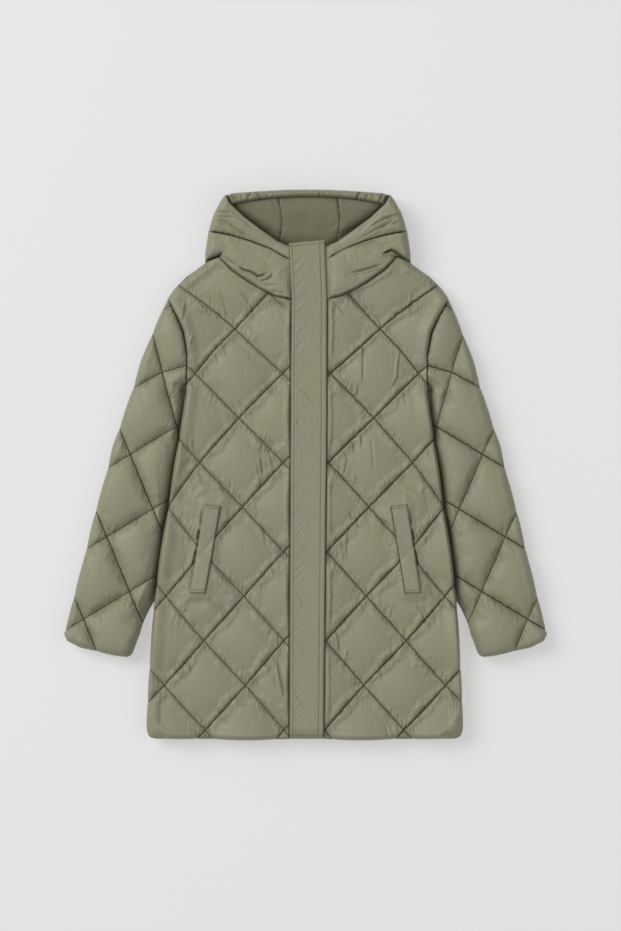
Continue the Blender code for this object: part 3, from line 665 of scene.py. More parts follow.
def pocket_gap(x, y):
    """Depth of the pocket's opening, along the outer edge of its welt."""
    (ax, ay), (bx, by) = WELT_CORNERS[0], WELT_CORNERS[3]
    distance = away(x - 1.4 - 2.6 * wander(0, y, 11, 33.5), y, ((ax, ay), (bx, by)))
    ends = smooth(y, by + 2, by + 16) * faded(y, ay - 12, ay - 2)
    uneven = 0.2 + 0.9 * smooth(wander(0, y, 15, 21.5), -0.35, 0.2)
    return 4.4 * ends * uneven * bell(distance, 1.9)


def hem_mouth(x, y):
    """How far front and back stand off each other at the hem."""
    return MOUTH * (1 - min(away(x, y, hem_line(0)) / EDGE_RADIUS, 1)) ** 2


def front_heights(side):
    """Rule for a front: where its cloth lies before it fills out."""
    start = closing_edge(side)
    neck = [(start, NECK_MIDDLE), *NECK, SHOULDER_POINT]
    rolled = ((SHOULDER, SHOULDER_RADIUS), (SIDE, SIDE_RADIUS[side]), (hem_line(start), HEM_RADIUS))

    def heights(x, y):
        fullness = puff(*front_seams(x, y))
        in_strip = strip_share(x, side)
        crest = STITCH_LEVEL + PUFF_RISE * fullness
        crest = mix(crest, STITCH_LEVEL + PUFF_RISE * 0.62, WELT_BED * welt_press(x, y))
        crest = mix(crest, strip_level(y), in_strip)
        neck_away, armhole_away = away(x, y, neck), away(x, y, ARMHOLE)
        low = mix(NECK_SEAM, strip_level(y), in_strip) if neck_away <= armhole_away else PANEL_SEAM + 2
        seam_away = min(neck_away, armhole_away)
        top = min(crest, mix(low, max(crest, low), rounded(seam_away, SEAM_RADIUS - 2)))
        lip = FRONT_INSIDE + LIP + hem_mouth(x, y)
        shift_x = shift_y = 0
        for chain, radius in rolled:
            distance, way, _ = nearest(x, y, chain)
            top = min(top, mix(lip, max(crest, lip), rounded(distance, radius)))
            if distance < EDGE_RADIUS:
                amount = BULGE * fullness * (1 - distance / EDGE_RADIUS) * (1 - in_strip)
                amount *= smooth(seam_away, 2, 25)
                shift_x += way[0] * amount
                shift_y += way[1] * amount
        return x + shift_x, y + shift_y, top

    return heights


def on_seam(first, second):
    return abs(first - round(first)) < ON_SEAM or abs(second - round(second)) < ON_SEAM


# Long wrinkles of the fronts: depth, width and points, in pixels of the photograph.
# A wrinkle with a negative depth stands up as a ridge.
WRINKLES = {
    RIGHT: (
        (-3.1, 2, ((217, 287), (221, 300), (224, 312), (227, 320))),
        (-2, 2, ((207, 288), (209, 298), (210, 306))),
        (2.3, 2.1, ((240, 290), (247, 299), (252, 308), (254, 322))),
        (2, 2.2, ((187, 300), (185, 314), (182, 327))),
        (-2.3, 1.9, ((193, 334), (189, 346), (186, 358))),
        (-2.6, 1.8, ((221, 345), (223, 350), (225, 357))),
        (-2.6, 1.8, ((213, 353), (215, 358), (216, 364))),
        (3.4, 2, ((261, 457), (262, 468), (263, 479))),
        (2.3, 2, ((258, 466), (260, 478), (262, 488))),
        (2.5, 2, ((268, 448), (271, 458), (275, 471))),
        (-3.1, 1.9, ((191, 437), (191, 446), (192, 454))),
        (-2.6, 1.8, ((223, 435), (229, 442))),
        (-2.6, 1.8, ((226, 524), (230, 533))),
        (2, 2.2, ((262, 524), (265, 535), (266, 546))),
        (-2.6, 2, ((273, 662), (273, 676), (274, 691))),
        (4, 2.3, ((278, 660), (280, 674), (283, 688), (287, 704))),
        (-2.6, 1.8, ((239, 697), (242, 702), (244, 708))),
        (-2.5, 1.9, ((186, 661), (188, 666), (190, 672))),
        (-2.2, 1.8, ((182, 612), (185, 608))),
        (-2.5, 1.9, ((206, 595), (210, 601), (214, 607))),
        (5.6, 1.9, ((266, 290), (271, 294), (277, 300), (283, 305), (291, 310))),
        (-2.8, 1.8, ((267, 294), (275, 302), (283, 309)))),
    LEFT: (
        (-3.1, 2, ((362, 343), (361, 356), (361, 370), (361, 386))),
        (-2.6, 1.8, ((357, 382), (356, 390), (354, 398))),
        (-2.9, 1.9, ((341, 449), (345, 458), (344, 468), (341, 476))),
        (-2.6, 1.8, ((358, 430), (360, 440), (360, 449))),
        (-2.5, 1.8, ((350, 441), (353, 451))),
        (1.9, 2.2, ((348, 456), (350, 470), (353, 482))),
        (1.9, 2.2, ((372, 440), (373, 455), (374, 472))),
        (-2.9, 1.9, ((347, 529), (346, 538), (345, 548), (346, 564))),
        (-2.2, 1.8, ((339, 538), (341, 552), (344, 564))),
        (-2.9, 1.9, ((353, 514), (355, 521), (357, 529))),
        (2.5, 1.8, ((350, 511), (352, 522))),
        (-2.6, 1.9, ((335, 630), (337, 644), (338, 654))),
        (-2.6, 1.9, ((347, 649), (345, 658), (343, 666))),
        (3.1, 1.9, ((417, 605), (421, 611), (425, 618))),
        (3.1, 1.9, ((424, 616), (425, 625))),
        (-2.6, 1.8, ((378, 669), (380, 676), (381, 682))),
        (-2.6, 2, ((399, 349), (397, 362), (396, 376), (390, 389))),
        (-2.5, 1.9, ((411, 293), (409, 303), (408, 311))),
        (-2.2, 1.9, ((330, 302), (338, 308), (343, 317))),
        (2.2, 2, ((386, 726), (388, 733), (389, 739))))}


def seen(side, px, py):
    """A point of the photograph as a point of the half coat."""
    y = (PHOTO_MIDDLE[1] - py) * MM_PER_PIXEL
    return side * ((px - PHOTO_MIDDLE[0]) * MM_PER_PIXEL - read(SWAY, y)) / SPREAD[side], y


def wrinkles_of(side):
    return boxed((depth, width, [seen(side, *point) for point in chain])
                 for depth, width, chain in WRINKLES[side])


def build_front(side, name):
    outline = front_outline(side)
    bm = trimmed(lattice(front_point, (-0.5, 6.5), (-3, 5.5), FRONT_FACES), outline)
    first, second = marked(bm, front_seams)
    heights = front_heights(side)
    for vert in bm.verts:
        vert.co = heights(vert.co.x, vert.co.y)
    edge = strip_edge(side)
    neck = (*NECK, SHOULDER_POINT)
    near_welt = drawn_in(welt_outline(), -2)
    sides = joined(SHOULDER, ARMHOLE, SIDE, hem_line(0))

    def in_welt(vert):
        return inside(*vert.co.xy, near_welt)

    def held(vert):
        return vert.is_boundary or on_seam(vert[first], vert[second]) or vert.co.x < edge or in_welt(vert)

    bm = filled_out(bm, held, QUILT_GROWTH, lambda place: smooth(away(place.x, place.y, sides), 4, 26))
    bm = finer(bm)
    first, second, painted_shade_layer = layers_of(bm, "first", "second", "hollow")
    wrinkles = wrinkles_of(side)
    welt = WELT_CORNERS + WELT_CORNERS[:1]
    sewn_edge = ((edge, HEM_Y), (edge, NECK_MIDDLE))
    for vert in bm.verts:
        x, y = vert.co.xy
        gap = pocket_gap(x, y)
        neck_away, armhole_away, side_away = away(x, y, neck), away(x, y, ARMHOLE), away(x, y, SIDE)
        # painted shade: in the pocket's opening, beside the placket's edge, in the neck and armhole seams
        # and along the welt's inner edge
        dark = max(gap / 3.2, faded(x - placket_edge(side, y), *PLACKET_SHADE[side]),
                   SEAM_SHADE * faded(min(neck_away, armhole_away), 0, 2),
                   0.9 * faded(away(x, y, WELT_CORNERS[1:3]), 0.4, 2.2))
        vert[painted_shade_layer] = min(dark, 1)
        folds = 0
        if not in_welt(vert):
            folds = puckered(vert[first], vert[second])
            if folds:
                edge_away = min(neck_away, armhole_away, side_away, away(x, y, SHOULDER), y - HEM_Y)
                folds *= smooth(edge_away, 0, 7)
            folds += creased(x, y, wrinkles)
            folds += drawn_up(x, y, welt, 20, 77 + side, lean=0.4, height=2.4)
            folds += drawn_up(x, y, sewn_edge, 24, 61 + side, lean=-1.3 * side, height=2.6)
            if neck_away < 24:
                folds += drawn_up(x, y, neck, 24, 67 + side)
            if armhole_away < 20:
                folds += drawn_up(x, y, ARMHOLE, 20, 71 + side)
            folds += 0.7 * bell(side_away - 3.2, 1.6)
        vert.co.z += folds * smooth(x, edge + 1, edge + 5) - gap
    closed_below(bm, lambda x, y: FRONT_INSIDE + hem_mouth(x, y), outline)
    mapped(bm)
    return to_object(name, laid(bm, side))


def under_body(y):
    """How far a sleeve's inner edge lies tucked under the body: 0 below it, 1 further up."""
    return smooth(y, -290, -247)


def sleeve_heights(x, y):
    fullness = puff(*sleeve_seams(x, y))
    crest = SLEEVE_STITCH + SLEEVE_RISE * fullness
    cap = away(x, y, ARMHOLE)
    top = min(crest, mix(PANEL_SEAM, max(crest, PANEL_SEAM), rounded(cap, SEAM_RADIUS)))
    outer, outer_way, _ = nearest(x, y, SLEEVE_OUTER)
    inner = away(x, y, SLEEVE_INNER)
    cuff, cuff_way, _ = nearest(x, y, CUFF)
    fold = SIDE_SEAM + LIP
    top = min(top, mix(fold, crest, rounded(outer, SLEEVE_OUTER_RADIUS)))
    tuck = min(read(SLEEVE_TUCK, inner), crest)
    rolled = mix(fold, crest, rounded(inner, SLEEVE_INNER_RADIUS))
    top = min(top, mix(rolled, tuck, under_body(y)))
    top = min(top, mix(CUFF_LIPS[1], crest, rounded(cuff, CUFF_RADIUS)))
    fade = smooth(cap, 2, 25) * BULGE * fullness
    outer_shift = fade * max(1 - outer / EDGE_RADIUS, 0)
    cuff_shift = fade * max(1 - cuff / EDGE_RADIUS, 0)
    x += outer_way[0] * outer_shift + cuff_way[0] * cuff_shift
    y += outer_way[1] * outer_shift + cuff_way[1] * cuff_shift
    return x, y, top


# ---- closed walls

def walled(bm, rule, seams=None, grown=0, held=None, opened=None, relief=None):
    """Thicken a flat sheet, let it fill out, make it finer and add its finer relief.

    A rule gives each point's place, its lower and upper face and how much painted shade its cloth carries.
    """
    names = ("first", "second", "lower", "upper", "hollow", "fixed")
    first, second, lower, upper, painted_shade_layer, fixed = layers_of(bm, *names)
    for vert in bm.verts:
        x, y = vert.co.xy
        vert[first], vert[second] = seams(x, y) if seams else (0.5, 0.5)
        vert[fixed] = float(vert.is_boundary)
        x, y, vert[lower], vert[upper], vert[painted_shade_layer] = rule(x, y)
        vert.co = (x, y, 0)
    bm.normal_update()
    bmesh.ops.solidify(bm, geom=bm.faces[:], thickness=1)
    middle = sum(vert.co.z for vert in bm.verts) / len(bm.verts)
    for vert in bm.verts:
        above = vert.co.z > middle
        vert.co.z = vert[upper if above else lower]
        if not above or (held and held(vert.co.x, vert.co.y)):
            vert[fixed] = 1
    bmesh.ops.recalc_face_normals(bm, faces=bm.faces[:])
    if opened:
        opened(bm)
    else:
        sharp = bm.edges.layers.float.new("crease_edge")
        for edge in bm.edges:
            if len(edge.link_faces) == 2 and edge.calc_face_angle() > SHARP_TURN:
                edge[sharp] = 1

    def steady(vert):
        return vert[fixed] > 0.5 or (seams and on_seam(vert[first], vert[second]))

    if grown:
        bm = filled_out(bm, steady, grown)
    bm = finer(bm)
    first, second, lower, upper, painted_shade_layer = layers_of(bm, *names[:5])
    for vert in bm.verts if relief else ():
        if vert.co.z > (vert[lower] + vert[upper]) / 2:
            # a relief gives a rise, and painted shade for the hollow layer
            rise, dark = relief(vert.co.x, vert.co.y, vert[first], vert[second])
            vert.co.z += rise
            vert[painted_shade_layer] = max(vert[painted_shade_layer], dark)
    if seams:
        mapped(bm)
    return bm


# ---- sleeves

def sleeve_rule(x, y):
    """A flattened tube: flat where it rests, quilted above, round at its two long edges."""
    px, py, top = sleeve_heights(x, y)
    outer, inner, cuff = (away(x, y, chain) for chain in (SLEEVE_OUTER, SLEEVE_INNER, CUFF))
    low = SIDE_SEAM * (1 - rounded(outer, EDGE_RADIUS))
    low = max(low, mix(SIDE_SEAM * (1 - rounded(inner, EDGE_RADIUS)), 0, under_body(y)))
    low = max(low, CUFF_LIPS[0] * (1 - rounded(cuff, EDGE_RADIUS)))
    low = max(low, pressed(puff(*sleeve_seams(x, y))))
    return px, py, min(low, top - LIP), top, 0


def open_cuff(bm):
    """Open the cuff: its two lips roll in to a flattened mouth."""

    def from_ends(place):
        return min(math.dist(place.xy, CUFF[0]), math.dist(place.xy, CUFF[-1]))

    bm.normal_update()
    faces = []
    for face in bm.faces:
        middle = face.calc_center_median()
        upright = abs(face.normal.z) < 0.3
        if upright and away(middle.x, middle.y, CUFF) < 6 and from_ends(middle) >= 9:
            faces.append(face)
    bmesh.ops.inset_region(bm, faces=faces, thickness=CUFF_LIP_WIDTH, use_even_offset=True)
    grown = bmesh.ops.extrude_face_region(bm, geom=faces)["geom"]
    bmesh.ops.delete(bm, geom=faces, context="FACES")
    for vert in (item for item in grown if isinstance(item, bmesh.types.BMVert)):
        _, way, _ = nearest(vert.co.x, vert.co.y, CUFF)
        depth = MOUTH_DEPTH * smooth(from_ends(vert.co), 4, 30) + 4
        vert.co.x -= way[0] * depth
        vert.co.y -= way[1] * depth
        vert.co.z = SIDE_SEAM + 0.5 + (0.7 if vert.co.z > sum(CUFF_LIPS) / 2 else -0.7)


def build_sleeve(side, name):
    outline = seamed(SLEEVE_INNER[::-1], CUFF[::-1], SLEEVE_OUTER[::-1], ARMHOLE)
    border = outline + outline[:1]
    bm = trimmed(lattice(sleeve_point, (-3.5, 4.5), (-3.5, 4.5), SLEEVE_FACES), outline)

    def relief(x, y, first, second):
        folds = puckered(first, second) + drawn_up(x, y, ARMHOLE, 24, 83 + side, height=2.2)
        folds += drawn_up(x, y, CUFF, 22, 89 + side, height=1.8)
        if folds:
            folds *= smooth(away(x, y, border), 0, 7)
        # painted shadow that the body's edge casts on the sleeve, and painted shade in the armhole seam
        painted_body_shadow = 0.85 * faded(away(x, y, SIDE), 1, 18) * smooth(y, -262, -215)
        painted_body_shadow *= 1 - 0.75 * smooth(y, 30, 110)
        return folds, max(SEAM_SHADE * faded(away(x, y, ARMHOLE), 0, 2), painted_body_shadow)

    bm = walled(bm, sleeve_rule, sleeve_seams, QUILT_GROWTH, opened=open_cuff, relief=relief)
    return to_object(name, laid(bm, side))


# ---- back

BACK_STEPS = (76, 78.1)  # half a diamond across and along


def across_centre(chain):
    return [(-x, y) for x, y in chain[::-1]]


def back_point(first, second):
    return (first - second) * BACK_STEPS[0], QUILT_TOP - (first + second) * BACK_STEPS[1]


def back_seams(x, y):
    across, along = x / BACK_STEPS[0], (QUILT_TOP - y) / BACK_STEPS[1]
    return (along + across) / 2, (along - across) / 2


def build_back():
    shoulder = [HOOD_OUTLINE[1], *SHOULDER]
    side_and_hem = [*SIDE, *hem_line(0)[1:]]
    half = joined(shoulder, ARMHOLE, side_and_hem)
    outline = seamed(half, [(0, HEM_Y)], across_centre(half))

    def bottom(x, y):
        low = pressed(puff(*back_seams(x, y)))
        for chain in (shoulder, side_and_hem):
            low = max(low, SIDE_SEAM * (1 - rounded(away(abs(x), y, chain), EDGE_RADIUS)))
        return min(low, top(x, y) - LIP + 0.2)

    def top(x, y):
        return BACK_TOP - hem_mouth(abs(x), y)

    bm = trimmed(lattice(back_point, (-3.5, 6.5), (-3.5, 6.5), BACK_FACES), outline)
    marked(bm, back_seams)
    for vert in bm.verts:
        vert.co.z = -bottom(vert.co.x, vert.co.y)
    closed_below(bm, lambda x, y: -top(x, y), outline, EDGE_RADIUS)
    for vert in bm.verts:
        vert.co.z *= -1
    mapped(bm)
    return to_object("back_panel", laid(bm, 1))


# ---- hood

# Creases on the band and collar, by side: depth, width and points of the half coat.
# A crease with a negative depth stands up as a ridge.
CREASES = {
    RIGHT: boxed((
        (3, 1.9, ((158, 434), (149, 432.5), (136, 432), (126, 428.5))),
        (-2.4, 2.2, ((159, 443), (146, 444), (134, 442))),
        (3.4, 1.6, ((152.5, 429), (133, 418), (116, 406), (93.5, 392.5))),
        (2.6, 2.4, ((162, 424.5), (150, 421.5), (138, 416))),
        (2, 3.4, ((134, 446), (112, 428), (88, 408))),
        (8.5, 1.7, ((177, 358.5), (166, 361.5), (154, 366.5), (145, 373))),
        (-4.2, 1.8, ((147, 367), (138, 360), (126, 352))),
        (7, 1.5, ((119, 345.5), (110.7, 340.5), (100.2, 337.8), (93.3, 334.3), (87, 329.5),
                    (79.3, 330.8), (67, 336))),
        (-4.6, 1.7, ((84, 323), (74, 326), (65, 331.5), (64, 338))),
        (-3, 2, ((112, 333), (100, 325), (88, 315))),
        (1.8, 2.6, ((82, 315), (68, 312.5), (52, 314.5))),
        (1.8, 2.4, ((60, 302), (46, 299.5), (32, 296))),
        (1.6, 5, ((120, 376), (92, 366), (62, 352))),
        (1.4, 4, ((165, 395), (148, 390), (128, 380))))),
    LEFT: boxed((
        (-2.8, 2.2, ((158.9, 441), (145, 437.5), (131, 434))),
        (3.2, 1.9, ((150, 430.5), (134, 429.5), (118, 421), (104, 411))),
        (2.4, 1.5, ((158, 434), (134, 418), (104, 402.5), (84, 391))),
        (2.4, 2.6, ((158, 421), (140, 419), (122, 411.5))),
        (2, 3.4, ((128, 441), (108, 424), (84, 405))),
        (8.5, 1.7, ((132, 369), (139.2, 373.6), (144.4, 375.4), (154.8, 371), (160, 366),
                    (175, 357))),
        (-4.2, 1.8, ((126, 366), (136, 367), (146, 369))),
        (4.4, 1.8, ((128, 348.5), (116.7, 346.5), (99.4, 341.2), (82.1, 336.9), (70, 334))),
        (1.6, 2, ((88, 331), (76, 329.5), (64, 330.5))),
        (3.4, 1.7, ((125, 391.5), (111.5, 389.4), (90.8, 382.4), (76, 377))),
        (1.4, 5, ((150, 390), (122, 376), (94, 364)))))}

# Creases inside the hood, seen through its opening
INSIDE_CREASES = {
    RIGHT: boxed((
        (1.8, 3, ((62, 462), (55, 452), (52, 440))),
        (1.6, 6, ((112, 428), (86, 414), (60, 402))),
        (1.2, 4, ((108, 452), (92, 446), (76, 432))))),
    LEFT: boxed((
        (1.8, 3, ((60, 424), (55, 418), (51.5, 409))),
        (1.8, 5, ((86, 417), (70, 409), (54, 400))),
        (1.4, 3, ((118, 452), (98, 455), (74, 458)))))}
CENTRE_CREASES = boxed((
    (1.6, 2.6, ((50, 424), (44, 418), (41, 411))),
    (1, 9, ((-8, 440), (-6, 410), (-10, 385))),
    (0.9, 5, ((-44, 432), (-38, 424), (-34, 412)))))

# Gathers of the brim: place beside the centre line, slant, depth and width
GATHERS = (
    (-138, 9, 5, 2.4), (-130, 6, 7, 2.4), (-122, 3, 4, 2), (-114, 3, 2.6, 2.6),
    (-102, -4, 5.5, 2.4), (-98, 1, 2.6, 2), (-84, 7, 6, 1.8), (-70, -8, 2.4, 1.8),
    (-58, 2, 1.2, 3), (3, 2, 3, 2.2), (21.7, 3, 5, 1.7), (31, -1, 2.8, 2.2),
    (60, -3, 1, 3.5), (86.5, -5, 7, 2.2), (92, 2, 2.6, 1.8), (102.5, -4, 4.4, 2),
    (114, 1, 1.8, 3), (128, -5, 6, 2), (137, -9, 5, 2.2))


def hollow(x, y):
    outline = joined(HOOD_OUTLINE, BRIM_END)
    return 10 * smooth(min(away(x, y, outline), away(x, y, NECK)), 0, 60)


def upper_hood(side, seams, rolled, rim=None):
    """Rule for a stretch of the hood's upper wall."""

    def heights(x, y):
        floor = hood_floor(y) + SEAM_GAP * 2
        in_strip = strip_share(x, side)
        crest = hood_crest(y) + 0.8 * wander(x, y, 26, 7 + side)
        crest = mix(crest, strip_level(y), in_strip)
        dark = 0
        bottom = floor + hollow(x, y)
        top = crest
        for chain, low, radius in seams:
            distance = away(x, y, chain)
            top = min(top, mix(mix(low, strip_level(y), in_strip), crest, rounded(distance, radius)))
            # painted shade in the groove of each seam
            dark = max(dark, 0.65 * faded(distance, 0.2, 1.6))
        top = min(top, mix(floor + LIP, crest, rounded(away(x, y, rolled), HOOD_ROLL)))
        if rim:
            distance = away(x, y, rim)
            middle = mix(bottom, crest, 0.55)
            top = min(top, mix(middle + 2, crest, rounded(distance, RIM_RADIUS)))
            bottom = max(bottom, mix(middle - 2, bottom, rounded(distance, HOOD_ROLL)))
        return x, y, bottom, max(top, bottom + LIP), min(dark, 1) * (1 - in_strip)

    return heights


def kept_of(side):
    """Whether a point of the hood lies under the placket or in a crease."""
    return lambda x, y: x < strip_edge(side) + 2 or creased(x, y, CREASES[side]) < -2.5


def drawn_hood(side, *chains):
    """Relief of a hood piece: its creases, small puckers along its seams, and painted shade in its deep
    creases.
    """

    def relief(x, y, first, second):
        share = smooth(x, strip_edge(side) + 1, strip_edge(side) + 5)
        folds = creased(x, y, CREASES[side])
        small = sum(drawn_up(x, y, chain, 14, 5 + 3 * number + side, lean=0.5 - number, height=0.8)
                    for number, chain in enumerate(chains))
        # painted shade in the deep creases
        return (folds + small) * share, 0.9 * smooth(-folds, 2.4, 6) * share

    return relief


def hood_piece(side, name, outline, rule, *seams):
    bm = walled(cut_sheet(outline, HOOD_GRID), rule, grown=HOOD_GROWTH, held=kept_of(side),
                relief=drawn_hood(side, *seams))
    return to_object(name, laid(bm, side))


def build_hood_side(side, name):
    start = closing_edge(side)
    neck = [(start, NECK_MIDDLE), *NECK]
    edge = [SHOULDER_POINT, *HOOD_OUTLINE[:BAND_AT + 1]]
    seam = [*BAND_SEAM, (start, BAND_SEAM_MIDDLE)]
    rule = upper_hood(side, ((neck, NECK_SEAM, 5), (seam, BAND_SEAM_LEVEL, 7)), [NECK[-1], *edge])
    return hood_piece(side, name, seamed(neck, edge, seam), rule, neck, seam)


def build_hood_band(side, name):
    start = closing_edge(side)
    seam = [(start, BAND_SEAM_MIDDLE), *BAND_SEAM[::-1]]
    edge = HOOD_OUTLINE[BAND_AT:]
    rim = [*RIM, (start, RIM_MIDDLE)]
    rule = upper_hood(side, ((seam, BAND_SEAM_LEVEL, 6), (BRIM_END, BAND_SEAM_LEVEL + 4, 6)), edge, rim)
    return hood_piece(side, name, seamed(seam, edge, BRIM_END, rim), rule, seam)


def build_hood_brim():
    top = [*BRIM_TOP, (0, HOOD_TOP_Y)]
    seam = [*BRIM_SEAM, (0, 468.5)]
    outline = seamed(across_centre(BRIM_SEAM)[::-1], BRIM_SEAM[::-1], BRIM_END[::-1], top,
                     across_centre(BRIM_TOP), across_centre(BRIM_END)[::-1])

    def rule(x, y):
        top_away, seam_away, end_away = (away(abs(x), y, chain) for chain in (top, seam, BRIM_END))
        crest = BRIM_CREST + 1.2 * wander(x, y, 16, 31)
        upper = min(mix(27, crest, rounded(top_away, 8)), mix(45, crest, rounded(seam_away, 6)))
        upper = min(upper, mix(46, crest, rounded(end_away, 8)))
        folds = 0
        for place, slant, depth, width in GATHERS:
            off = (x - place - slant * (468 - y) / 12) / width
            folds += 0.55 * depth * (0.3 * bell(abs(off) - 2.2, 1.2) - bell(off, 1))
        upper += folds * smooth(min(top_away, seam_away + 3), 0, 4)
        # painted shade: in the gathers' valleys, along the seam and the ends, and a little over the whole
        # brim
        dark = max(0.85 * smooth(-folds, 0.8, 3.4), 0.5 * faded(seam_away, 0.2, 1.6),
                   0.6 * faded(end_away, 0, 2), 0.2)
        return x, y, crown_level(y) + SEAM_GAP, upper, dark

    return to_object("hood_brim_band", laid(walled(cut_sheet(outline, BRIM_GRID), rule), 1))


def lower_hood(table, side=None):
    """Rule for the hood's back: its inside slopes up to the brim over the folded crown."""
    rim = (*RIM, (36, RIM_MIDDLE))

    def rule(x, y):
        edge = away(abs(x), y, HOOD_OUTLINE)
        floor = hood_floor(y)
        bottom = max(crown_level(y), (floor - 1.2) * (1 - rounded(edge, EDGE_RADIUS)))
        relief = min(creased(x if side is None else abs(x), y, table), 0.5)
        relief += 0.7 * wander(x, y, 22, 5) - 0.4
        seam = away(abs(x), y, HOOD_BACK_SEAM[side or (RIGHT if x < 0 else LEFT)])
        from_seam = smooth(seam, 0, 5)
        pulled = 0.5 * wander(x * 0.5, y, 3.4, 13) * faded(seam, 4, 14)
        fuller = 1.6 + (1.8 if side is None else 3.2) * rounded(seam, 9)
        fuller *= rounded(y - read(RIM, abs(x)), 20)
        top = floor + smooth(edge, 6, 30) * ((relief + pulled) * from_seam + fuller - 0.8 * (1 - from_seam))
        # painted shade inside the hood, darkest under the rim, and painted shade in its creases
        shade = 0.72 * faded(away(abs(x), y, rim), 0, 24) * smooth(abs(x), 10, 44)
        dark = max(shade, 0.5 * smooth(-relief, 1.6, 3.4))
        return x, y, bottom, max(top, bottom + 0.6), dark

    return rule


def build_hood_centre():
    across = [(20, 468.2), (-20, 468.2)]
    outline = seamed(HOOD_BACK_SEAM[LEFT], across, across_centre(HOOD_BACK_SEAM[RIGHT]))
    bm = walled(cut_sheet(outline, HOOD_GRID), lower_hood(CENTRE_CREASES))
    return to_object("hood_centre_panel", laid(bm, 1))


def build_hood_inner(side, name):
    outline = seamed(HOOD_OUTLINE[1:], BRIM_END, BRIM_SEAM[:3], HOOD_BACK_SEAM[side][::-1])
    bm = walled(cut_sheet(outline, INSIDE_GRID), lower_hood(INSIDE_CREASES[side], side))
    return to_object(name, laid(bm, side))


def build_hood_fold():
    """The folded crown: layers that show as rounded edges."""
    half = [(150, 408), (163, 422), (157, 440), (149, 456), (139, 467), (124, 473.5),
            (84, 477), (40, 479)]
    outline = counter_clockwise(half + across_centre(half))
    layers = ((0, 5), (0.04, 3), (0.12, 1.2), (0.27, 0), (0.38, 1), (0.45, 3.6), (0.5, 7),
              (0.55, 3.8), (0.63, 1.6), (0.74, 0.5), (0.86, 1.4), (0.95, 3.2), (1, 6))
    bm = skinned([(x, y, share * (crown_level(y) - 0.8)) for x, y in drawn_in(outline, inset)]
                 for share, inset in layers)
    cuts = [((0, y, 0), (0, 1, 0)) for y in range(385, 477, 6)]
    cuts += [((x + 0.5, 0, 0), (1, 0, 0)) for x in range(-160, 161, 8)]
    for place, across in cuts:
        bmesh.ops.bisect_plane(bm, geom=bm.verts[:] + bm.edges[:] + bm.faces[:], dist=0.2,
                               plane_co=place, plane_no=across)
    return to_object("hood_crown_fold", laid(bm, 1))


# ---- closing and pockets

# Wrinkles of the placket, which start at its sewn edge: depth, width and points
PLACKET_CREASES = boxed((
    (-1.1, 1.8, ((-22, 268), (-8, 280), (2, 288))),
    (-1.3, 1.7, ((-18, 137), (-8, 128), (2, 118), (10, 108))),
    (-1, 1.6, ((-20, 80), (-14, 68), (-10, 56))),
    (1.2, 1.6, ((2, 43), (8, 26), (20, 18))),
    (1, 2.4, ((-20, -60), (-8, -78), (2, -88))),
    (-1.1, 1.8, ((-20, -130), (-4, -146), (12, -160))),
    (-1, 2, ((-21, -220), (-10, -236), (-4, -252))),
    (1, 2.2, ((-21, -300), (-8, -318), (4, -330))),
    (-1.1, 2, ((-20, -398), (-6, -420), (2, -436)))))


def placket_top(x):
    return mix(387.2, 393.2, (x + 32.5) / 63)


def placket_sides(x, y):
    """How far a point lies from the placket's sewn and free edges."""
    return x - read(PLACKET_EDGES, y, 1), read(PLACKET_EDGES, y, 2) - x


def placket_outline():
    ys = [387, 290, 235, 130, -200, HEM_Y + EDGE_RADIUS, HEM_Y + 8, HEM_Y]
    sewn = [(read(PLACKET_EDGES, y, 1), y) for y in ys]
    free = [(read(PLACKET_EDGES, y, 2), y) for y in ys[:0:-1]] + [(30.5, placket_top(30.5))]
    return counter_clockwise(joined(sewn, free))


def build_placket():
    """The storm flap with its top stitching, lying on both fronts and on the collar."""
    sewn_line = [(sewn + SEWN_STITCH, y) for y, sewn, _ in PLACKET_EDGES]
    free_line = [(free - FREE_STITCH, y) for y, _, free in PLACKET_EDGES]

    def rule(x, y):
        hem = rounded(y - HEM_Y, EDGE_RADIUS)
        bottom = mix(FRONT_INSIDE + LIP + MOUTH, strip_level(y), hem)
        bottom += SEAM_GAP + 0.7 * faded(y - HEM_Y, 20, 27)
        edge = min(*placket_sides(x, y), placket_top(x) - y)
        rise = PLACKET_THICK * mix(0.45, 1, rounded(edge, 3.5)) + 0.35 * wander(x, y, 20, 2)
        return x, y, bottom, bottom + max(rise, 1.4), 0

    def relief(x, y, first, second):
        from_sewn, from_free = placket_sides(x, y)
        from_line = min(abs(from_sewn - SEWN_STITCH), abs(from_free - FREE_STITCH),
                        abs(placket_top(x) - y - TOP_STITCH), abs(y - HEM_Y - HEM_STITCH))
        line = bell(from_line, 1.1)
        folds = creased(x, y, PLACKET_CREASES) + 0.5 * bell(from_sewn - SEWN_STITCH - 2.6, 1.5)
        folds += drawn_up(x, y, sewn_line, 30, 41, lean=1.2, height=1.3) * smooth(from_sewn, 6, 9)
        folds += drawn_up(x, y, free_line, 9, 47, lean=-0.6, height=0.6) * smooth(from_free, 0, 3)
        # dark stitching lines, and painted shade along the sewn and free edges
        border = max(1 - from_sewn / 1.6, 0.9 - from_free / 1.4, 0)
        return folds * (1 - line) - 1.3 * line, max(0.6 * line * line, 0.9 * border)

    bm = walled(cut_sheet(placket_outline(), PLACKET_GRID), rule, relief=relief)
    return to_object("placket_flap", laid(bm, 1))


def welt_outline():
    return counter_clockwise(list(WELT_CORNERS))


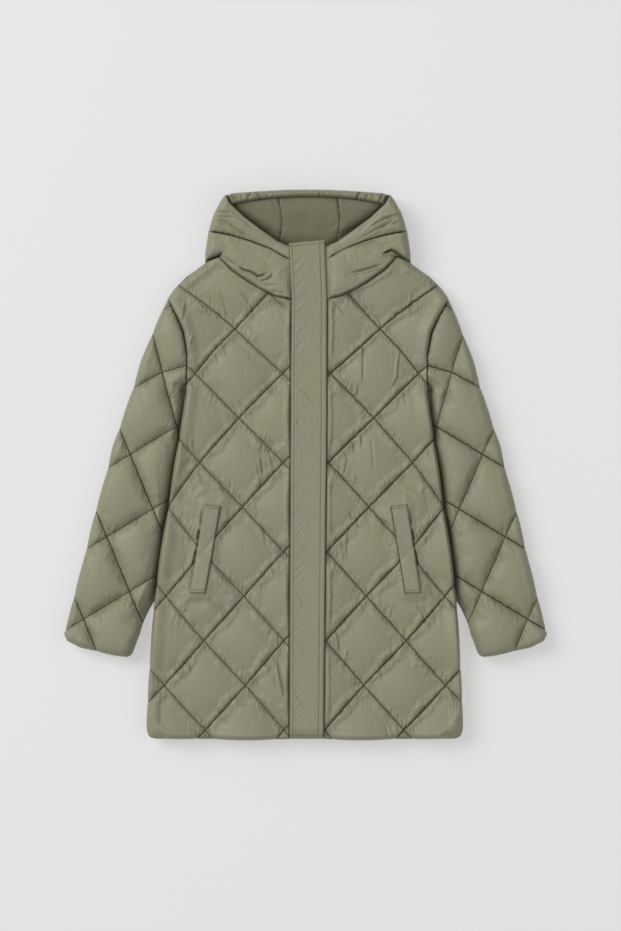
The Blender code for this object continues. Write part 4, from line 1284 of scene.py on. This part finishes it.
def build_welt(side, name):
    """A pocket welt, moved out from the front that it lies on, double stitched at its ends."""
    outline = welt_outline()
    closed = outline + outline[:1]
    surface = front_heights(side)
    ends = (WELT_CORNERS[0:2], WELT_CORNERS[2:4])

    def rule(x, y):
        px, py, level = surface(x, y)
        level += SEAM_GAP
        rise = WELT_THICK * mix(0.35, 1, rounded(away(x, y, closed), 2.6))
        rise += 0.35 * wander(x, y, 12, 4 + side)
        return px, py, level, level + max(rise, 1.2), 0

    def relief(x, y, first, second):
        # painted shade along the welt's inner and outer edges, and dark stitching at its ends
        dark = 0.9 * faded(away(x, y, WELT_CORNERS[1:3]), 0.2, 1.8)
        dark = max(dark, 0.6 * faded(away(x, y, (WELT_CORNERS[0], WELT_CORNERS[3])), 0, 1.6))
        lines = max(bell(away(x, y, end) - place, 0.9) for end in ends for place in WELT_STITCHES)
        return -0.9 * lines, max(dark, 0.5 * lines)

    bm = walled(cut_sheet(outline, WELT_GRID), rule, relief=relief)
    return to_object(name, laid(bm, side))


def build_zip():
    """A closed zip under the placket: its tape, and teeth that mesh along its middle."""
    start, end = CLOSING_X - ZIP_HALF + SEAM_GAP, CLOSING_X + ZIP_HALF - SEAM_GAP
    profile = ((start, 0), (start, TAPE_THICK), (end, TAPE_THICK), (end, 0))

    def low(y):
        return FRONT_INSIDE + 0.1 + 12 * smooth(y, 300, 380)

    rows = [HEM_Y + 1 + step * TAPE_STEP for step in range(TAPE_STEPS + 1)]
    bm = skinned([(x, y, low(y) + z) for x, z in profile] for y in rows)
    for step in range(TEETH):
        y = HEM_Y + 3 + step * TOOTH_PITCH
        way = 1 if step % 2 else -1
        for vert in bmesh.ops.create_cube(bm, size=1)["verts"]:
            tip = 0.7 if vert.co.x * way < 0 else 1
            vert.co = (CLOSING_X + way * 0.7 + vert.co.x * 3.6, y + vert.co.y * 2.1 * tip,
                       low(y) + TAPE_THICK + 1 + vert.co.z * 2.2)
    return to_object("zip_closing", laid(bm, 1))


# ---- cloth

def node_group(name, inputs, outputs):
    """A shader group whose sockets are named by words, each with its kind."""
    group = bpy.data.node_groups.new(name, "ShaderNodeTree")
    for way, sockets in (("INPUT", inputs), ("OUTPUT", outputs)):
        for label, kind in sockets.items():
            group.interface.new_socket(label, in_out=way, socket_type="NodeSocket" + kind)
    return group, group.nodes.new("NodeGroupInput").outputs, group.nodes.new("NodeGroupOutput").inputs


def feed(tree, socket, value):
    """Link a socket to another one, or set it to a number or colour."""
    if isinstance(value, bpy.types.NodeSocket):
        tree.links.new(value, socket)
    else:
        socket.default_value = value


def maths(tree, operation, *values):
    """A sum whose values are numbers or sockets."""
    node = tree.nodes.new("ShaderNodeMath")
    node.operation = operation
    for socket, value in zip(node.inputs, values):
        feed(tree, socket, value)
    return node.outputs[0]


def eased(tree, value, low, high):
    """1 where a value is at or under low, 0 from high on."""
    node = tree.nodes.new("ShaderNodeMapRange")
    node.interpolation_type = "SMOOTHSTEP"
    tree.links.new(value, node.inputs["Value"])
    for label, number in (("From Min", low), ("From Max", high), ("To Min", 1), ("To Max", 0)):
        node.inputs[label].default_value = number
    return node.outputs["Result"]


def grain(tree, vector, scale, detail=2, roughness=0.5):
    node = tree.nodes.new("ShaderNodeTexNoise")
    values = {"Vector": vector, "Scale": scale, "Detail": detail, "Roughness": roughness}
    for label, value in values.items():
        feed(tree, node.inputs[label], value)
    return node.outputs["Fac"]


def vector_of(tree, *values):
    node = tree.nodes.new("ShaderNodeCombineXYZ")
    for socket, value in zip(node.inputs, values):
        feed(tree, socket, value)
    return node.outputs[0]


def parts_of(tree, vector):
    node = tree.nodes.new("ShaderNodeSeparateXYZ")
    tree.links.new(vector, node.inputs[0])
    return node.outputs


def blended(tree, share, first, second, mode="MIX"):
    node = tree.nodes.new("ShaderNodeMix")
    node.data_type = "RGBA"
    node.blend_type = mode
    for socket, value in ((node.inputs["Factor"], share), (node.inputs[6], first), (node.inputs[7], second)):
        feed(tree, socket, value)
    return node.outputs[2]


def satin_group():
    """Fine satin weave: its colour, sheen and height from a point of the coat."""
    group, given, made = node_group("satin weave", {"Place": "Vector", "Colour": "Color"},
                                    {"Colour": "Color", "Roughness": "Float", "Height": "Float"})
    times, times_add = partial(maths, group, "MULTIPLY"), partial(maths, group, "MULTIPLY_ADD")
    place, colour = given["Place"], given["Colour"]
    patches = grain(group, place, 9, 3)
    warm = blended(group, 1, colour, (1.008, 0.998, 0.992, 1), "MULTIPLY")
    cool = blended(group, 1, colour, (0.994, 1.004, 0.996, 1), "MULTIPLY")
    tone = blended(group, eased(group, patches, 0.4, 0.6), warm, cool)
    fine = grain(group, place, 1400, 1)
    shade = times_add(fine, 0.08, 0.96)
    grey = vector_of(group, shade, shade, shade)
    group.links.new(blended(group, 1, tone, grey, "MULTIPLY"), made["Colour"])
    group.links.new(times_add(patches, 0.12, 0.44), made["Roughness"])
    parts = parts_of(group, place)
    drawn = vector_of(group, *(times(part, scale) for part, scale in zip(parts, (120, 26, 26))))
    ripple = maths(group, "ADD", grain(group, place, 60, 3, 0.6), grain(group, drawn, 1))
    group.links.new(times_add(ripple, 1, times(fine, 0.04)), made["Height"])


def seam_group():
    """Stitched quilting seams, with painted shade in their grooves, and the puckers beside them, from the
    map of the quilting.
    """
    group, given, made = node_group("quilting seams", {"Map": "Vector", "Place": "Vector"},
                                    {"Line": "Float", "Puckers": "Float"})
    plus, minus, times, times_add, over, most, least, size = (
        partial(maths, group, operation) for operation in
        ("ADD", "SUBTRACT", "MULTIPLY", "MULTIPLY_ADD", "DIVIDE", "MAXIMUM", "MINIMUM", "ABSOLUTE"))
    first, second, _ = parts_of(group, given["Map"])
    on_left = maths(group, "GREATER_THAN", parts_of(group, given["Place"])[0], 0)
    lines, puckers = [], []
    # seams of one slant are painted darker and wider, as painted shade falls in their grooves
    for across, along, seed, shaded_slant in ((first, second, 3, on_left), (second, first, 11, minus(1, on_left))):
        line = maths(group, "ROUND", across)
        offset = minus(across, line)
        uneven = grain(group, vector_of(group, times(along, 11), line, seed), 1)
        gap = times(size(plus(offset, times_add(uneven, 0.034, -0.017))), SEAM_SPACING)
        strength = plus(times_add(uneven, 0.9, 0.45), times(shaded_slant, 0.15))
        narrow = over(gap, times_add(shaded_slant, 0.45, 1.05))
        lines.append(times(eased(group, narrow, 0.4, 1.25), least(strength, 1)))
        leaning = times(times_add(offset, -0.7, along), 20)
        seeded = times_add(maths(group, "SIGN", offset), 4, seed)
        run = grain(group, vector_of(group, times(across, 1.6), leaning, seeded), 1, 1)
        crest = minus(1, times(size(minus(run, 0.5)), 10))
        patch = grain(group, vector_of(group, across, times(along, 4.2), seed + 20), 1, 1)
        reach = most(times_add(patch, 130, -54), 2)
        fade = most(minus(1, over(gap, reach)), 0)
        puckers.append(times(most(crest, 0), fade))
    group.links.new(most(*lines), made["Line"])
    group.links.new(plus(*puckers), made["Puckers"])


def new_finish(name):
    """A material with its tree, its shader's sockets and the coat's own points."""
    finish = bpy.data.materials.new(name)
    finish.use_nodes = True
    tree = finish.node_tree
    shader = tree.nodes["Principled BSDF"].inputs
    shader["Metallic"].default_value = 0
    return finish, tree, shader, tree.nodes.new("ShaderNodeTexCoord").outputs["Object"]


def grouped(tree, name, **values):
    """A group in a material, with its values."""
    node = tree.nodes.new("ShaderNodeGroup")
    node.node_tree = bpy.data.node_groups[name]
    for label, value in values.items():
        feed(tree, node.inputs[label], value)
    return node.outputs


SATIN = (0.246, 0.2365, 0.1575, 1)
# the same satin painted darker, as painted shade inside the hood
SATIN_SHADED_INSIDE = (0.164, 0.157, 0.098, 1)
# dark of the stitching, also used for painted shade in seams, creases and hollows
THREAD_AND_SHADE = (0.036, 0.028, 0.009, 1)
ZIP_TAPE = (0.12, 0.112, 0.07, 1)
BUMP_METRES = 0.0016


def cloth(name, colour, quilted):
    """Satin cloth with painted shade, and quilting seams where a piece has a map of them."""
    finish, tree, shader, place = new_finish(name)
    satin = grouped(tree, "satin weave", Place=place, Colour=colour)
    # the hollow layer holds painted shade, which darkens the cloth towards the thread colour
    painted_shade_mark = tree.nodes.new("ShaderNodeAttribute")
    painted_shade_mark.attribute_name = "hollow"
    top = blended(tree, maths(tree, "MULTIPLY", painted_shade_mark.outputs["Fac"], 0.8), satin["Colour"], THREAD_AND_SHADE)
    height = maths(tree, "MULTIPLY", satin["Height"], 0.45)
    if quilted:
        chart = tree.nodes.new("ShaderNodeUVMap")
        chart.uv_map = "quilting"
        seams = grouped(tree, "quilting seams", Map=chart.outputs[0], Place=place)
        # the seams' line is dark stitching and painted shade in their grooves
        top = blended(tree, maths(tree, "MULTIPLY", seams["Line"], 0.92), top, THREAD_AND_SHADE)
        height = maths(tree, "ADD", height, maths(tree, "MULTIPLY", seams["Puckers"], 0.7))
        height = maths(tree, "SUBTRACT", height, maths(tree, "MULTIPLY", seams["Line"], 0.6))
    bump = tree.nodes.new("ShaderNodeBump")
    bump.inputs["Strength"].default_value = 1
    bump.inputs["Distance"].default_value = BUMP_METRES
    tree.links.new(height, bump.inputs["Height"])
    values = {"Base Color": top, "Roughness": satin["Roughness"], "Normal": bump.outputs[0],
              "Sheen Weight": 0.06, "Sheen Roughness": 0.4, "Specular IOR Level": 0.3}
    for label, value in values.items():
        feed(tree, shader[label], value)
    return finish


def plain_finish(name, colour, roughness, size, contrast):
    """A plain finish with a slight unevenness."""
    finish, tree, shader, place = new_finish(name)
    darker = (*(value * contrast for value in colour[:3]), 1)
    tree.links.new(blended(tree, grain(tree, place, size, 3), darker, colour), shader["Base Color"])
    shader["Roughness"].default_value = roughness
    return finish


# ---- dressing the coat

def dressed(obj, node, finish):
    """Give a piece its finish and put it in its solid's place."""
    obj.data.materials.clear()
    obj.data.materials.append(finish)
    obj.data.shade_smooth()
    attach(obj, "root")
    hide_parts(node)
    return obj


satin_group()
seam_group()
quilted_satin = cloth("quilted satin", SATIN, True)
plain_satin = cloth("plain satin", SATIN, False)
shaded_inside_satin = cloth("satin painted darker inside the hood", SATIN_SHADED_INSIDE, False)
zip_finish = plain_finish("zip tape and teeth", ZIP_TAPE, roughness=0.5, size=500, contrast=0.85)

for side, word in ((RIGHT, "right"), (LEFT, "left")):
    front = build_front(side, f"front_{word}_panel")
    dressed(front, f"front_{word}", quilted_satin)
    sleeve = build_sleeve(side, f"sleeve_{word}_tube")
    dressed(sleeve, f"sleeve_{word}", quilted_satin)
    collar = build_hood_side(side, f"hood_side_{word}_panel")
    dressed(collar, f"hood_side_{word}", plain_satin)
    band = build_hood_band(side, f"hood_band_{word}_arm")
    dressed(band, f"hood_band_{word}", plain_satin)
    inner = build_hood_inner(side, f"hood_side_{word}_inside")
    dressed(inner, f"hood_side_{word}_inner", shaded_inside_satin)
    welt = build_welt(side, f"pocket_welt_{word}_strip")
    dressed(welt, f"pocket_welt_{word}", plain_satin)
dressed(build_back(), "back", quilted_satin)
dressed(build_hood_centre(), "hood_centre", shaded_inside_satin)
dressed(build_hood_brim(), "hood_brim", plain_satin)
dressed(build_hood_fold(), "hood_fold", plain_satin)
flap = dressed(build_placket(), "placket", plain_satin)
dressed(build_zip(), "front_zip", zip_finish)


# ---- studio, in metres

FLOOR_SIZE = 6
FLOOR_Z = -0.0004
FLOOR_GREY = (0.36, 0.36, 0.36, 1)
FLOOR_GLOW = 0.405
SKY_STRENGTH = 0.34
WHITE = (1, 1, 1, 1)
# A lamp's place, size and power
LAMPS = {
    "window": ((-4.4, 2.8, 5.2), 4.2, 395),
    "fill": ((2.6, -1, 3.2), 2.6, 20),
    "overhead": ((0.6, -1.1, 5.6), 3.4, 44)}
# The photograph spans 1086.75 by 1629.25 mm of the coat, seen from straight above
FRAME_LENGTH = 1.62925
LENS = 100
SENSOR = 36
COAT_MIDDLE = (0.00875, -0.0009, 0.040)


def studio_floor():
    bm = bmesh.new()
    bmesh.ops.create_grid(bm, x_segments=1, y_segments=1, size=FLOOR_SIZE / MM)
    floor = to_object("studio_floor", bm)
    floor.location.z = FLOOR_Z
    surface = plain_finish("pale light table", FLOOR_GREY, roughness=0.9, size=3, contrast=0.995)
    glow = surface.node_tree.nodes["Principled BSDF"].inputs
    glow["Emission Color"].default_value = WHITE
    glow["Emission Strength"].default_value = FLOOR_GLOW
    floor.data.materials.append(surface)
    return floor


def soft_light(name, place, size, power):
    """A square lamp that faces the coat."""
    lamp = bpy.data.lights.new(name, "AREA")
    lamp.shape = "SQUARE"
    lamp.size = size
    lamp.energy = power
    obj = bpy.data.objects.new(name, lamp)
    obj.location = place
    obj.rotation_euler = (-Vector(place)).to_track_quat("-Z", "Y").to_euler()
    bpy.context.scene.collection.objects.link(obj)


studio_floor()
for name, (place, size, power) in LAMPS.items():
    soft_light(name, place, size, power)
bpy.context.scene.view_settings.view_transform = "Standard"
world = bpy.data.worlds.new("studio")
world.use_nodes = True
sky = world.node_tree.nodes["Background"].inputs
sky["Color"].default_value = WHITE
sky["Strength"].default_value = SKY_STRENGTH
bpy.context.scene.world = world

camera_data = bpy.data.cameras.new("camera")
camera_data.lens = LENS
camera_data.sensor_width = SENSOR
camera = bpy.data.objects.new("camera", camera_data)
camera.location = (*COAT_MIDDLE[:2], COAT_MIDDLE[2] + LENS / SENSOR * FRAME_LENGTH)
bpy.context.scene.collection.objects.link(camera)
bpy.context.scene.camera = camera
